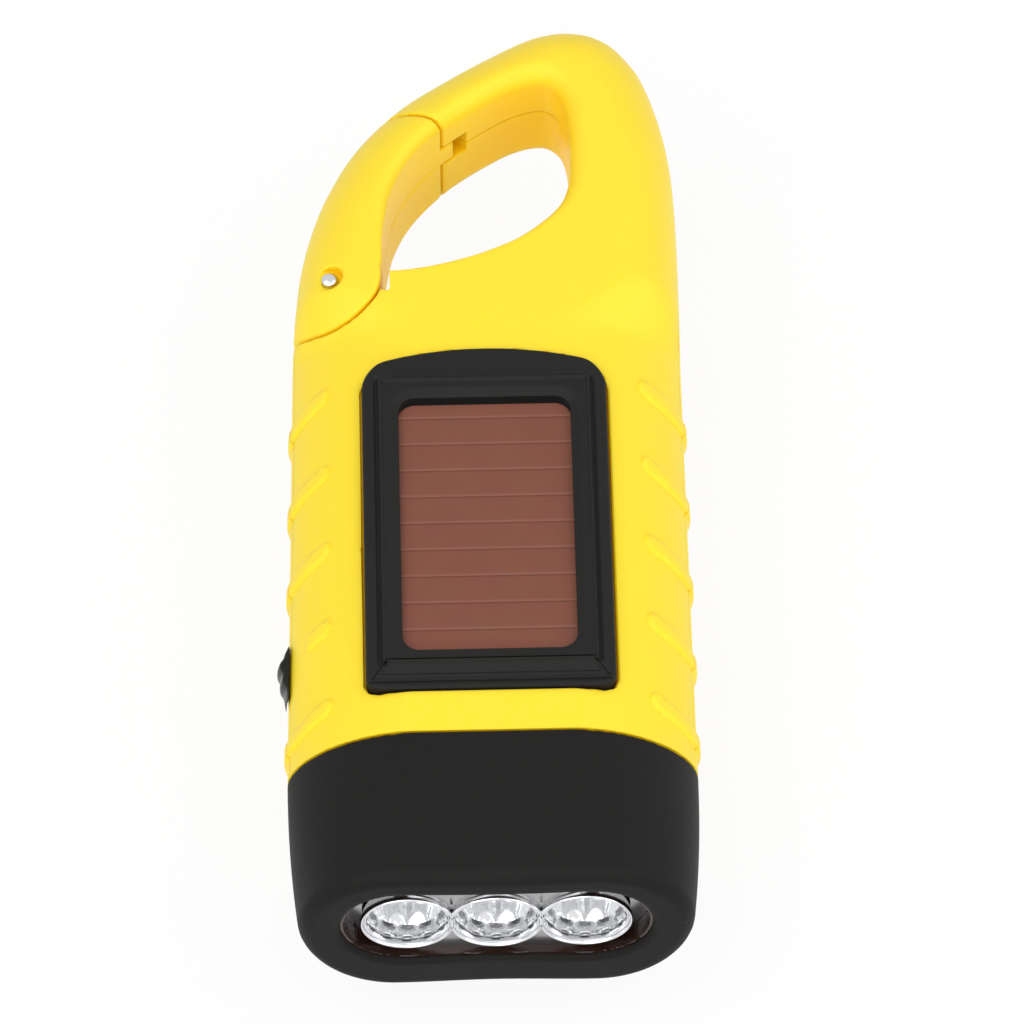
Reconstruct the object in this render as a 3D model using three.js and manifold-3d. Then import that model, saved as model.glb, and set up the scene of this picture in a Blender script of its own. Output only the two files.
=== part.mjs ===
// A solar and hand crank flashlight with a carabiner, in millimetres. It lies on its back:
// X across, Y from the head to the carabiner's tip, Z from the crank up to the solar cell.
// The origin is the middle of the footprint, at the outer face of the crank arm.
import * as THREE from "three";
import { mergeVertices } from "three/addons/utils/BufferGeometryUtils.js";
import Module from "manifold-3d";

const wasm = await Module();
wasm.setup();

// Clearances and common walls.
const GAP = 0.3; // between pieces that sit face to face
const RUN = 0.35; // between pieces that turn or slide on each other
const OVERRUN = 4; // how far a cut runs past the face that it opens
const WALL = 2; // moulded shell wall

// Body: plan, depth and edge.
const HEAD_LENGTH = 21.6; // from the head seam to the front of the head
const RING_LENGTH = 51.7; // carabiner, from its shoulder to the tip
const HALF_WIDTH = 25.8;
const BACK_Z = 10.8; // back of the body, above the crank
const FRONT_Z = 36;
const WIDE_Z = 23.5; // height of the body's widest line
const RING_WIDE_Z = 26.7; // the same on the carabiner
const RING_BACK_Z = 18;
const FRONT_EDGE = 16; // how far in the front edge's rounding reaches on the body
const BACK_EDGE = 13;
const RING_EDGE = 8.4; // the same on the carabiner
const PARTING_Z = 25.5;
const SHOULDER = 9; // length of the step from the deep body to the thin carabiner

const polar = ([x, y], radius, degrees) => [
  x + radius * Math.cos(THREE.MathUtils.degToRad(degrees)),
  y + radius * Math.sin(THREE.MathUtils.degToRad(degrees)),
];

// Gear train, from the crank to the rotor in its yoke: the body is as long as this needs.
const FIRST_MODULE = 0.8;
const FINE_MODULE = 0.5;
const CRANK_TEETH = 40;
const PINION_TEETH = 12;
const SECOND_TEETH = 40;
const THIRD_TEETH = 36;
const ADDENDUM_SHARE = 0.8;
const MESH_TURN = [245, 0, -50]; // plan direction from each axle to the next, in degrees
const MAGNET_RADIUS = 6.5;
const MAGNET_GAP = 0.6;
const YOKE_WIDTH = 2.2;
const TRAIN_SPARE = 2.756; // from the yoke to the head seam
const CAVITY_SPARE = 2.56; // from the crank gear to the end of the cavity
const END_WALL = 1.2; // from there to the shoulder

const meshCentre = (module, a, b) => (module * (a + b)) / 2;
const secondFrom = (hub) => polar(hub, meshCentre(FIRST_MODULE, CRANK_TEETH, PINION_TEETH), MESH_TURN[0]);
const thirdFrom = (second) =>
  polar(second, meshCentre(FINE_MODULE, SECOND_TEETH, PINION_TEETH), MESH_TURN[1]);
const rotorFrom = (third) => polar(third, meshCentre(FINE_MODULE, THIRD_TEETH, PINION_TEETH), MESH_TURN[2]);

const ROTOR_DROP = -rotorFrom(thirdFrom(secondFrom([0, 0])))[1];
const HUB_TO_SEAM = ROTOR_DROP + MAGNET_RADIUS + MAGNET_GAP + YOKE_WIDTH + TRAIN_SPARE;
const CRANK_GEAR_RADIUS = FIRST_MODULE * (CRANK_TEETH / 2 + ADDENDUM_SHARE);
const CAVITY_LENGTH = HUB_TO_SEAM + CRANK_GEAR_RADIUS + CAVITY_SPARE;
const SHOULDER_REACH = CAVITY_LENGTH + END_WALL;
const BODY_LENGTH = SHOULDER_REACH + RING_LENGTH;

const HEAD_Y = -(BODY_LENGTH + HEAD_LENGTH) / 2;
const SEAM_Y = HEAD_Y + HEAD_LENGTH;
const TIP_Y = SEAM_Y + BODY_LENGTH;
const CAVITY_Y = SEAM_Y + CAVITY_LENGTH;

// Outer outline in plan, up the left side, round the tip and down the right side. x is a share of the
// half width, y a share of the body's length up to the shoulder, or of the carabiner's beyond it.
const left_side_shares = [[-1, 0], [-0.963, 0.8716], [-0.958, 1]];
const ring_shares = [
  [-0.95, 0.0885], [-0.935, 0.1753], [-0.913, 0.273], [-0.866, 0.3837], [-0.787, 0.5009],
  [-0.64, 0.6398], [-0.42, 0.7634], [-0.167, 0.8568], [0.06, 0.9284], [0.256, 0.9805],
  [0.4, 1], [0.52, 1], [0.625, 0.987], [0.722, 0.9566], [0.8, 0.911], [0.868, 0.8503],
  [0.942, 0.7222], [0.985, 0.5812], [1, 0.3923], [1, 0.1753], [1, 0.0885],
];
const right_side_shares = [[1, 1], [1, 0]];

// A closed mesh as a solid, facing out whichever way its triangles ran.
function solidOf(geometry) {
  const bare = geometry.clone();
  bare.deleteAttribute("normal");
  bare.deleteAttribute("uv");
  const merged = mergeVertices(bare, 1e-4);
  const index = Array.from(merged.index.array);
  const kept = [];
  for (let i = 0; i < index.length; i += 3) {
    const [a, b, c] = index.slice(i, i + 3);
    if (a !== b && b !== c && c !== a) kept.push(a, b, c);
  }
  const vertProperties = merged.attributes.position.array;
  const build = (tris) =>
    new wasm.Manifold(
      new wasm.Mesh({ numProp: 3, vertProperties, triVerts: new Uint32Array(tris) }),
    );
  const made = build(kept);
  return made.volume() < 0 ? build(kept.reverse()) : made;
}

// A solid as a named mesh.
function meshOf(name, solid, material) {
  const { numProp, numVert, vertProperties, triVerts } = solid.getMesh();
  const position = new Float32Array(numVert * 3);
  for (let i = 0; i < numVert; i += 1) {
    position.set(vertProperties.subarray(i * numProp, i * numProp + 3), i * 3);
  }
  const geometry = new THREE.BufferGeometry();
  geometry.setAttribute("position", new THREE.BufferAttribute(position, 3));
  geometry.setIndex(new THREE.BufferAttribute(triVerts, 1));
  geometry.computeVertexNormals();
  const mesh = new THREE.Mesh(geometry, material);
  mesh.name = name;
  return mesh;
}

const union = (solids) => solids.reduce((sum, next) => sum.add(next));
const without = (solid, cuts) => cuts.reduce((rest, cut) => rest.subtract(cut), solid);

// A solid through closed rings of equally many points, capped flat seen along the axis named.
function loft(rings, across = "xy") {
  const count = rings[0].length;
  const points = rings.flat();
  const index = [];
  for (let r = 0; r + 1 < rings.length; r += 1) {
    for (let i = 0; i < count; i += 1) {
      const j = (i + 1) % count;
      const low = r * count;
      const high = low + count;
      index.push(low + i, low + j, high + j, low + i, high + j, high + i);
    }
  }
  const flat = (ring) => ring.map((p) => new THREE.Vector2(p[across[0]], p[across[1]]));
  const cap = (ring, first, turned) => {
    for (const [a, b, c] of THREE.ShapeUtils.triangulateShape(flat(ring), [])) {
      const face = turned ? [a, c, b] : [a, b, c];
      index.push(...face.map((k) => first + k));
    }
  };
  const bottom = rings[0];
  const top = rings[rings.length - 1];
  const forward = THREE.ShapeUtils.area(flat(bottom)) > 0;
  cap(bottom, 0, forward);
  cap(top, (rings.length - 1) * count, !forward);
  const geometry = new THREE.BufferGeometry();
  geometry.setFromPoints(points);
  geometry.setIndex(index);
  return solidOf(geometry);
}

// Prism of a plan outline between two heights.
function prism(points, low, high) {
  const shape = new THREE.Shape(points.map(([x, y]) => new THREE.Vector2(x, y)));
  const geometry = new THREE.ExtrudeGeometry(shape, { depth: high - low, bevelEnabled: false });
  geometry.translate(0, 0, low);
  return solidOf(geometry);
}

// Box between two corners.
function block([x0, y0, z0], [x1, y1, z1]) {
  const geometry = new THREE.BoxGeometry(x1 - x0, y1 - y0, z1 - z0);
  geometry.translate((x0 + x1) / 2, (y0 + y1) / 2, (z0 + z1) / 2);
  return solidOf(geometry);
}

// Upright round solid at a plan place, between two heights, with an optional second radius on top.
function post([x, y], low, high, radius, sides = 20, topRadius = radius) {
  const geometry = new THREE.CylinderGeometry(topRadius, radius, high - low, sides);
  geometry.rotateX(Math.PI / 2);
  geometry.translate(x, y, (low + high) / 2);
  return solidOf(geometry);
}

// Profile of a plain round bar.
const bar = (low, high, radius) => [[0, low], [radius, low], [radius, high], [0, high]];

// Turned solid from a profile of radius and height, along +Z at a place.
function turned(profile, [x, y, z], sides = 24) {
  const geometry = new THREE.LatheGeometry(
    profile.map(([radius, height]) => new THREE.Vector2(radius, height)),
    sides,
  );
  geometry.rotateX(Math.PI / 2);
  geometry.translate(x, y, z);
  return solidOf(geometry);
}

// The same solid pointing along X, Y or -Y, about a centre.
function turnedAlong(axis, profile, [x, y, z], sides = 24) {
  const geometry = new THREE.LatheGeometry(
    profile.map(([radius, height]) => new THREE.Vector2(radius, height)),
    sides,
  );
  if (axis === "x") geometry.rotateZ(-Math.PI / 2);
  if (axis === "-y") geometry.rotateX(Math.PI);
  geometry.translate(x, y, z);
  return solidOf(geometry);
}

const mix = (a, b, t) => a + (b - a) * t;
const smooth = (t) => THREE.MathUtils.smoothstep(t, 0, 1);
const radians = THREE.MathUtils.degToRad;

// Points of an arc round a centre, both ends included.
function arc(centre, radius, from, to, steps) {
  const points = [];
  for (let i = 0; i <= steps; i += 1) points.push(polar(centre, radius, mix(from, to, i / steps)));
  return points;
}

// Rectangle with round corners, as plan points.
function rounded([x0, y0], [x1, y1], radius, steps = 4) {
  return [
    ...arc([x1 - radius, y1 - radius], radius, 0, 90, steps),
    ...arc([x0 + radius, y1 - radius], radius, 90, 180, steps),
    ...arc([x0 + radius, y0 + radius], radius, 180, 270, steps),
    ...arc([x1 - radius, y0 + radius], radius, 270, 360, steps),
  ];
}

// Slot with round ends between two plan places.
function stadium([x0, y0], [x1, y1], radius, steps = 6) {
  const turn = THREE.MathUtils.radToDeg(Math.atan2(y1 - y0, x1 - x0));
  return [
    ...arc([x1, y1], radius, turn - 90, turn + 90, steps),
    ...arc([x0, y0], radius, turn + 90, turn + 270, steps),
  ];
}

// Envelope of the two shells: the plan outline, drawn in layer by layer towards the front and back faces.
const LAYERS = 4; // on each side of the widest line
const INNER_LAYERS = 3; // the same for hidden faces
const FRONT_POWER = 1.8; // how full the front edge's rounding is
const BACK_POWER = 2;
const RING_POWER = 2;

const bodyPoint = ([x, y]) => new THREE.Vector2(x * HALF_WIDTH, SEAM_Y + y * SHOULDER_REACH);
const ringPoint = ([x, y]) => new THREE.Vector2(x * HALF_WIDTH, TIP_Y - (1 - y) * RING_LENGTH);
const outline = [
  ...left_side_shares.map(bodyPoint),
  ...ring_shares.map(ringPoint),
  ...right_side_shares.map(bodyPoint),
];

// Share of the way from the deep body to the thin carabiner, at a height in plan.
const ringShare = (y) => smooth((y - SEAM_Y - SHOULDER_REACH) / SHOULDER);

// Each outline point with the way it is drawn in.
function outlineWithNormals() {
  return outline.map((point, i) => {
    const before = outline[Math.max(i - 1, 0)];
    const after = outline[Math.min(i + 1, outline.length - 1)];
    const along = after.clone().sub(before).normalize();
    const inward = new THREE.Vector2(along.y, -along.x);
    if (i === 0 || i === outline.length - 1) inward.set(Math.sign(inward.x), 0);
    return { point, inward };
  });
}

// One layer, at an angle from -90 at the back face through 0 at the widest line to 90 at the front.
function layer(angle, grow) {
  const front = angle >= 0;
  const sine = Math.abs(Math.sin(radians(angle)));
  const cosine = Math.cos(radians(angle));
  return outlineWithNormals().map(({ point, inward }) => {
    const ring = ringShare(point.y);
    const wide = mix(WIDE_Z, RING_WIDE_Z, ring);
    const power = mix(front ? FRONT_POWER : BACK_POWER, RING_POWER, ring);
    const depth = front ? FRONT_Z - wide : wide - mix(BACK_Z, RING_BACK_Z, ring);
    const edge = mix(front ? FRONT_EDGE : BACK_EDGE, RING_EDGE, ring) + grow;
    const drawn = edge * (1 - Math.pow(Math.max(cosine, 0), 2 / power)) - grow;
    const rise = (depth + grow) * Math.pow(sine, 2 / power);
    return new THREE.Vector3(
      point.x + inward.x * drawn,
      point.y + inward.y * drawn,
      front ? wide + rise : wide - rise,
    );
  });
}

// Whole envelope, grown outwards by a length, or shrunk by a negative one.
function envelope(grow = 0, layers = LAYERS) {
  const rings = [];
  for (let k = -layers; k <= layers; k += 1) rings.push(layer((k / layers) * 90, grow));
  return pairedLoft(rings);
}

// Loft whose end caps run straight across from each left point to its partner on the right.
function pairedLoft(rings) {
  const count = rings[0].length;
  const index = [];
  for (let r = 0; r + 1 < rings.length; r += 1) {
    for (let i = 0; i < count; i += 1) {
      const j = (i + 1) % count;
      const low = r * count;
      const high = low + count;
      index.push(low + i, high + j, low + j, low + i, high + i, high + j);
    }
  }
  for (const [ring, turnedOver] of [[0, false], [rings.length - 1, true]]) {
    const first = ring * count;
    let left = 0;
    let right = count - 1;
    while (left + 1 < right) {
      const leftY = rings[ring][left + 1].y;
      const rightY = rings[ring][right - 1].y;
      const stepLeft = leftY <= rightY;
      const face = stepLeft ? [left, left + 1, right] : [left, right - 1, right];
      if (turnedOver) face.reverse();
      index.push(...face.map((k) => first + k));
      if (stepLeft) left += 1;
      else right -= 1;
    }
  }
  const geometry = new THREE.BufferGeometry();
  geometry.setFromPoints(rings.flat());
  geometry.setIndex(index);
  return solidOf(geometry);
}

// Rechargeable cells, in a row along X in a cradle under the front shell.
const CELLS = 3;
const CELL_RADIUS = 5.7;
const CELL_THICK = 5.2;
const CELL_FROM_END = 12.4; // from the end of the cavity
const CELL_Z = 26.1;
const CELL_Y = CAVITY_Y - CELL_FROM_END;
const CELL_LENGTH = (CELLS * (CELL_THICK + GAP)) / 2;

// Carabiner: the hole, the gate on its pin and the nose that the gate closes on.
const GATE_WALL = 13.1; // from the left side to the hole
const SPINE_WALL = 13.65; // from the hole to the right side
const NOSE_WALL = 11.15; // from the hole to the tip
const HOLE_TO_SHOULDER = 10;
const HOLE_FILLET = 2.6; // along the nose and the spine
const HOLE_CRISP = 0.8; // where the hole meets the body
const FILLET_TURNS = [0, 45, 90]; // degrees round a fillet, from one face to the other
const PIVOT_TO_SIDE = 6.25;
const PIVOT_TO_SHOULDER = 9.4;
const GATE_BASE = 6.8; // radius of the gate's foot about its pin
const GATE_SHARE = 0.5377; // of the ring's length, from the pin to the joint with the nose
const GATE_REACH = GATE_SHARE * RING_LENGTH;
const GATE_SLIT = 0.8; // open gap beside the foot
const LUG_BACK_Z = 23.4;
const LUG_FRONT_Z = 29.8;
const LUG_RADIUS = 3.1;
const TONGUE_LENGTH = 1.8;
const TONGUE_BACK_Z = 28;
const TONGUE_FRONT_Z = 32.5;
const NOTCH_SPARE = 1; // room in the nose beyond the tongue
const GATE_PIN_RADIUS = 1;
const PIN_RECESS = 1.75; // radius of the dish round the pin's end
const PIN_RECESS_DEPTH = 1.1;
const PIN_SINK = 0.5; // pin end below the face
const PIN_FACE_DROP = 0.95; // the rounded faces over the pin's ends lie this far inside the flat ones

const PIVOT = [PIVOT_TO_SIDE - HALF_WIDTH, SEAM_Y + SHOULDER_REACH + PIVOT_TO_SHOULDER];
const HOLE_WIDTH = HALF_WIDTH * 2 - GATE_WALL - SPINE_WALL;
const HOLE_HEIGHT = RING_LENGTH - HOLE_TO_SHOULDER - NOSE_WALL;
const HOLE_X = (GATE_WALL - SPINE_WALL) / 2;
const HOLE_Y = TIP_Y - NOSE_WALL - HOLE_HEIGHT / 2;

const hole_shares = [
  [-0.952, -1], [-0.63, -0.984], [-0.276, -0.921], [0.062, -0.83], [0.425, -0.686],
  [0.698, -0.496], [0.883, -0.293], [0.976, -0.038], [1, 0.231], [1, 0.493],
  [0.972, 0.728], [0.899, 0.899], [0.738, 1], [0.449, 0.957], [0.111, 0.8],
  [-0.243, 0.588], [-0.533, 0.375], [-0.751, 0.126], [-0.895, -0.149], [-0.96, -0.398],
  [-0.996, -0.646], [-1, -0.836], [-0.992, -0.935],
];

// How much of the full fillet a point of the hole's outline gets: least beside the body.
const filletShare = ([x, y]) => smooth((y + 0.8) / 0.8) * mix(0.5, 1, smooth((x + 0.6) / 0.4));

// Cutter for the hole, flared by its fillets at both faces.
function holeCutter() {
  const count = hole_shares.length;
  const points = hole_shares.map(([x, y]) => [
    HOLE_X + (x * HOLE_WIDTH) / 2,
    HOLE_Y + (y * HOLE_HEIGHT) / 2,
  ]);
  const outward = points.map((_, i) => {
    const [ax, ay] = points[(i + count - 1) % count];
    const [bx, by] = points[(i + 1) % count];
    return new THREE.Vector2(by - ay, ax - bx).normalize();
  });
  const ring = (face, side, angle, run) =>
    points.map(([x, y], i) => {
      const fillet = mix(HOLE_CRISP, HOLE_FILLET, filletShare(hole_shares[i]));
      const out = fillet * (1 - Math.cos(radians(angle)));
      const sunk = fillet * (1 - Math.sin(radians(angle)));
      return new THREE.Vector3(
        x + outward[i].x * out,
        y + outward[i].y * out,
        face + side * (run - sunk),
      );
    });
  const back = FILLET_TURNS.map((angle) => ring(RING_BACK_Z, -1, angle, 0)).reverse();
  const front = FILLET_TURNS.map((angle) => ring(FRONT_Z, 1, angle, 0));
  return loft([
    ring(RING_BACK_Z, -1, 90, OVERRUN),
    ...back,
    ...front,
    ring(FRONT_Z, 1, 90, OVERRUN),
  ]);
}

const GATE_FOOT_START = 10; // degrees, beside the slit
const GATE_FOOT_END = -140; // beyond the left side
const NOSE_SEAM_START = 42; // degrees round the pin, inside the hole
const NOSE_SEAM_END = 112; // beyond the left side
const FAR = HALF_WIDTH + OVERRUN;

// Plan region that the gate takes up, drawn in by a gap on its seams.
function gateRegion(gap) {
  return [
    ...arc(PIVOT, GATE_BASE - gap, GATE_FOOT_END, GATE_FOOT_START, 15),
    ...arc(PIVOT, GATE_REACH - gap, NOSE_SEAM_START, NOSE_SEAM_END, 12),
    [-FAR, PIVOT[1] + GATE_BASE],
    [-FAR, PIVOT[1] - GATE_BASE / 2 + gap],
  ];
}

// Slice of a ring about the pin, between two radii and two angles.
function sector(inner, outer, from, to, low, high, steps = 5) {
  return prism(
    [...arc(PIVOT, outer, from, to, steps), ...arc(PIVOT, inner, to, from, steps)],
    low,
    high,
  );
}

const LUG_NECK_START = -88; // degrees round the pin, where the lug grows out of the body
const LUG_NECK_END = -2;
const GATE_TRAVEL = 20; // degrees that the gate swings into the hole
const TONGUE_START = 50; // degrees round the pin, inside the hole
const TONGUE_END = 66;
const NOTCH_SPARE_TURN = 2; // degrees of room beside the tongue

// Lug of the shells between the gate's two cheeks.
function lug() {
  const neck = sector(
    LUG_RADIUS / 2,
    GATE_BASE + WALL,
    LUG_NECK_START,
    LUG_NECK_END,
    LUG_BACK_Z,
    LUG_FRONT_Z,
  );
  return post(PIVOT, LUG_BACK_Z, LUG_FRONT_Z, LUG_RADIUS, 20).add(neck).intersect(envelope(-GAP));
}

// Room in the gate for that lug through the whole swing.
function lugSlot() {
  const low = LUG_BACK_Z - RUN;
  const high = LUG_FRONT_Z + RUN;
  const swept = sector(
    LUG_RADIUS / 2,
    GATE_BASE + GATE_SLIT,
    LUG_NECK_START - GATE_TRAVEL / 2,
    LUG_NECK_END + GATE_TRAVEL * 1.3,
    low,
    high,
    8,
  );
  return post(PIVOT, low, high, LUG_RADIUS + RUN, 20).add(swept);
}

// Blank of the carabiner and body with its hole, before the seams are cut.
const ringBlank = envelope().subtract(holeCutter());

function carabinerGate() {
  const arm = ringBlank.intersect(prism(gateRegion(GAP / 2), BACK_Z, FRONT_Z + OVERRUN));
  const tongue = ringBlank.intersect(
    sector(
      GATE_REACH - WALL,
      GATE_REACH + TONGUE_LENGTH,
      TONGUE_START,
      TONGUE_END,
      TONGUE_BACK_Z,
      TONGUE_FRONT_Z,
    ),
  );
  return without(arm.add(tongue), [
    lugSlot(),
    post(PIVOT, 0, FRONT_Z + OVERRUN, GATE_PIN_RADIUS + GAP, 12),
    post(PIVOT, FRONT_Z - PIN_FACE_DROP - PIN_RECESS_DEPTH, FRONT_Z + OVERRUN, PIN_RECESS, 16),
  ]);
}

// What both shells lose to the gate: its region, the slit beside its foot and the notch for its tongue.
function gateCuts() {
  const slitX = PIVOT[0] + GATE_BASE + GATE_SLIT / 2;
  const slit = stadium(
    [slitX, PIVOT[1] - GATE_BASE / 3],
    [slitX, PIVOT[1] + GATE_BASE / 2],
    GATE_SLIT / 2 + GAP / 2,
  );
  const notch = sector(
    GATE_REACH - WALL,
    GATE_REACH + TONGUE_LENGTH + NOTCH_SPARE,
    TONGUE_START,
    TONGUE_END + NOTCH_SPARE_TURN,
    TONGUE_BACK_Z - GAP,
    TONGUE_FRONT_Z + GAP,
  );
  return [
    prism(gateRegion(-GAP / 2), 0, FRONT_Z + OVERRUN),
    prism(slit, 0, FRONT_Z + OVERRUN),
    notch,
  ];
}

const gatePinBore = () => post(PIVOT, 0, FRONT_Z, GATE_PIN_RADIUS + GAP, 12);

function gatePin() {
  const chamfer = GATE_PIN_RADIUS / 4;
  const low = RING_BACK_Z + PIN_FACE_DROP + PIN_SINK;
  const high = FRONT_Z - PIN_FACE_DROP - PIN_SINK;
  return turned(
    [
      [0, low],
      [GATE_PIN_RADIUS - chamfer, low],
      [GATE_PIN_RADIUS, low + chamfer],
      [GATE_PIN_RADIUS, high - chamfer],
      [GATE_PIN_RADIUS - chamfer, high],
      [0, high],
    ],
    [...PIVOT, 0],
    12,
  );
}

// Torsion spring of the gate, round its pin in a pocket of the front lug.
const SPRING_WIRE = 0.3; // radius
const SPRING_TURNS = 3;
const SPRING_RADIUS = 1.65;
const SPRING_SIDES = 4;
const SPRING_STEPS = 9; // per turn
const SPRING_PITCH = 0.85;
const SPRING_LEG = 1;
const SPRING_LOW_Z = LUG_FRONT_Z - SPRING_TURNS * SPRING_PITCH - SPRING_WIRE - GAP;
const SPRING_LEG_TURN = -45; // degrees round the pin, towards the body

class SpringPath extends THREE.Curve {
  getPoint(t, target = new THREE.Vector3()) {
    const coil = Math.PI * 2 * SPRING_RADIUS * SPRING_TURNS;
    const along = t * (coil + SPRING_LEG * 2) - SPRING_LEG;
    const turn = THREE.MathUtils.clamp(along / coil, 0, 1);
    const angle = radians(SPRING_LEG_TURN + 360 * SPRING_TURNS * turn);
    const past = along < 0 ? along : Math.max(0, along - coil);
    return target.set(
      PIVOT[0] + SPRING_RADIUS * Math.cos(angle) - past * Math.sin(angle),
      PIVOT[1] + SPRING_RADIUS * Math.sin(angle) + past * Math.cos(angle),
      SPRING_LOW_Z + SPRING_PITCH * SPRING_TURNS * turn,
    );
  }
}

function gateSpring() {
  const path = new SpringPath();
  const wire = new THREE.Shape(
    arc([0, 0], SPRING_WIRE, 0, 360 - 360 / SPRING_SIDES, SPRING_SIDES - 1)
      .map(([x, y]) => new THREE.Vector2(x, y)),
  );
  const geometry = new THREE.ExtrudeGeometry(wire, {
    steps: SPRING_TURNS * SPRING_STEPS + 6,
    extrudePath: path,
  });
  return solidOf(geometry);
}

// Pocket in the front lug that the spring and its legs lie in.
function springPocket() {
  const low = SPRING_LOW_Z - SPRING_WIRE - GAP;
  return post(PIVOT, low, LUG_FRONT_Z + OVERRUN / 8, LUG_RADIUS - WALL / 4, 12);
}

// Grip ribs, five a side.
const RIBS = 5;
const RIB_PITCH = 11.85;
const RIB_TO_SEAM = 4.1;
const RIB_WIDTH = 2.6;
const RIB_HEIGHT = 0.45;
const RIB_REACH = 6.1; // from the side inwards

// Solar bezel's seat in the front shell.
const BEZEL_HALF_WIDTH = 15.65;
const BEZEL_TO_SEAM = 6.1;
const BEZEL_LENGTH = 51.2; // from the lower edge to the top of the crown
const CROWN_RADIUS = 48;
const BEZEL_SHOULDER_RADIUS = 4.4;
const BEZEL_LOWER_RADIUS = 1.8;
const BEZEL_SEAT_Z = 33.7;
const BEZEL_LEDGE = 1.6; // the seat reaches this far past the bezel
const BEZEL_SEAT_THICK = 1.5;
const WIRE_HOLE = 2.4;

const BEZEL_LOW_Y = SEAM_Y + BEZEL_TO_SEAM;
const CROWN_Y = BEZEL_LOW_Y + BEZEL_LENGTH - CROWN_RADIUS;

// Bezel outline drawn in by a length: round lower corners and shoulders under a shallow crown.
function bezelOutline(inset = 0) {
  const half = BEZEL_HALF_WIDTH - inset;
  const low = BEZEL_LOW_Y + inset;
  const lower = Math.max(BEZEL_LOWER_RADIUS - inset / 2, BEZEL_LOWER_RADIUS / 3);
  const shoulder = BEZEL_SHOULDER_RADIUS - inset;
  const across = BEZEL_HALF_WIDTH - BEZEL_SHOULDER_RADIUS;
  const up = Math.sqrt((CROWN_RADIUS - BEZEL_SHOULDER_RADIUS) ** 2 - across ** 2);
  const turn = THREE.MathUtils.radToDeg(Math.atan2(up, across));
  return [
    ...arc([half - lower, low + lower], lower, 270, 360, 3),
    ...arc([across, CROWN_Y + up], shoulder, 0, turn, 4),
    ...arc([0, CROWN_Y], CROWN_RADIUS - inset, turn, 180 - turn, 8).slice(1, -1),
    ...arc([-across, CROWN_Y + up], shoulder, 180 - turn, 180, 4),
    ...arc([lower - half, low + lower], lower, 180, 270, 3),
  ];
}

// Side switch.
const SWITCH_TO_SEAM = 14.6; // from the seam to the middle of the cap
const SWITCH_LENGTH = 8;
const SWITCH_HEIGHT = 4.2;
const SWITCH_TRAVEL = 3; // towards the head
const SWITCH_PROUD = 1.3;
const RIDGE_PROUD = 0.45;
const RIDGE_WIDTH = 0.9;
const RIDGE_PITCH = 2.2;
const STEM_LENGTH = 3;
const STEM_HEIGHT = 2.2;
const STEM_REACH = 4.3; // from the outer side inwards
const SWITCH_Y = SEAM_Y + SWITCH_TO_SEAM;

// Housing screws, driven from the back.
const SCREW_RADIUS = 1.1;
const SCREW_HEAD_RADIUS = 2.3;
const SCREW_HEAD = 1.8;
const SCREW_SEAT_Z = 16;
const SCREW_TIP_Z = 30;
const SCREW_BOSS = 2.9;
const HEAD_SCREW_TO_SIDE = 5.3;
const HEAD_SCREW_TO_SEAM = 5.2;
const FAR_SCREW_TO_SIDE = 6.2;
const FAR_SCREW_TO_END = 5.2; // from the end of the cavity
const SCREW_PLACES = [
  [HEAD_SCREW_TO_SIDE - HALF_WIDTH, SEAM_Y + HEAD_SCREW_TO_SEAM],
  [HALF_WIDTH - HEAD_SCREW_TO_SIDE, SEAM_Y + HEAD_SCREW_TO_SEAM],
  [FAR_SCREW_TO_SIDE - HALF_WIDTH, CAVITY_Y - FAR_SCREW_TO_END],
  [HALF_WIDTH - FAR_SCREW_TO_SIDE, CAVITY_Y - FAR_SCREW_TO_END],
];

// Middle of the shell wall: bosses on the curved sides end there.
const wallCore = envelope(-WALL / 2, INNER_LAYERS);

const halfBlock = (low, high) => block([-FAR, HEAD_Y - OVERRUN, low], [FAR, TIP_Y + OVERRUN, high]);
const FRONT_HALF = halfBlock(PARTING_Z + GAP / 2, FRONT_Z * 2);
const BACK_HALF = halfBlock(-OVERRUN, PARTING_Z - GAP / 2);

// Hollow of the body, open at the head seam.
function cavity() {
  const inner = envelope(-WALL, INNER_LAYERS).intersect(
    block([-FAR, SEAM_Y - OVERRUN, 0], [FAR, CAVITY_Y, FRONT_Z]),
  );
  return inner.add(inner.translate(0, -OVERRUN, 0));
}

function ribs() {
  const skin = envelope(RIB_HEIGHT).subtract(wallCore);
  const bars = [];
  for (let k = 0; k < RIBS; k += 1) {
    const y = SEAM_Y + RIB_TO_SEAM + k * RIB_PITCH;
    for (const side of [-1, 1]) {
      const start = HALF_WIDTH - RIB_REACH + RIB_WIDTH / 2;
      const plan = stadium([side * start, y], [side * FAR, y], RIB_WIDTH / 2, 3);
      bars.push(prism(plan, 0, FRONT_Z * 2));
    }
  }
  const clear = switchZone(SWITCH_LENGTH / 2 + RIB_WIDTH / 2, SWITCH_HEIGHT / 2 + RIB_WIDTH / 2);
  return skin.intersect(union(bars)).subtract(clear);
}

// Block about the switch's place on the left side.
function switchZone(halfLength, halfHeight) {
  return block(
    [-FAR, SWITCH_Y - halfLength - SWITCH_TRAVEL, PARTING_Z - halfHeight],
    [-HALF_WIDTH + WALL * 2, SWITCH_Y + halfLength, PARTING_Z + halfHeight],
  );
}

const stemSlot = () =>
  switchZone(STEM_LENGTH / 2 + RUN, STEM_HEIGHT / 2 + RUN);

const bothShells = without(ringBlank.subtract(cavity()), gateCuts())
  .add(lug())
  .add(ribs())
  .subtract(gatePinBore())
  .subtract(stemSlot());

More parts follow.
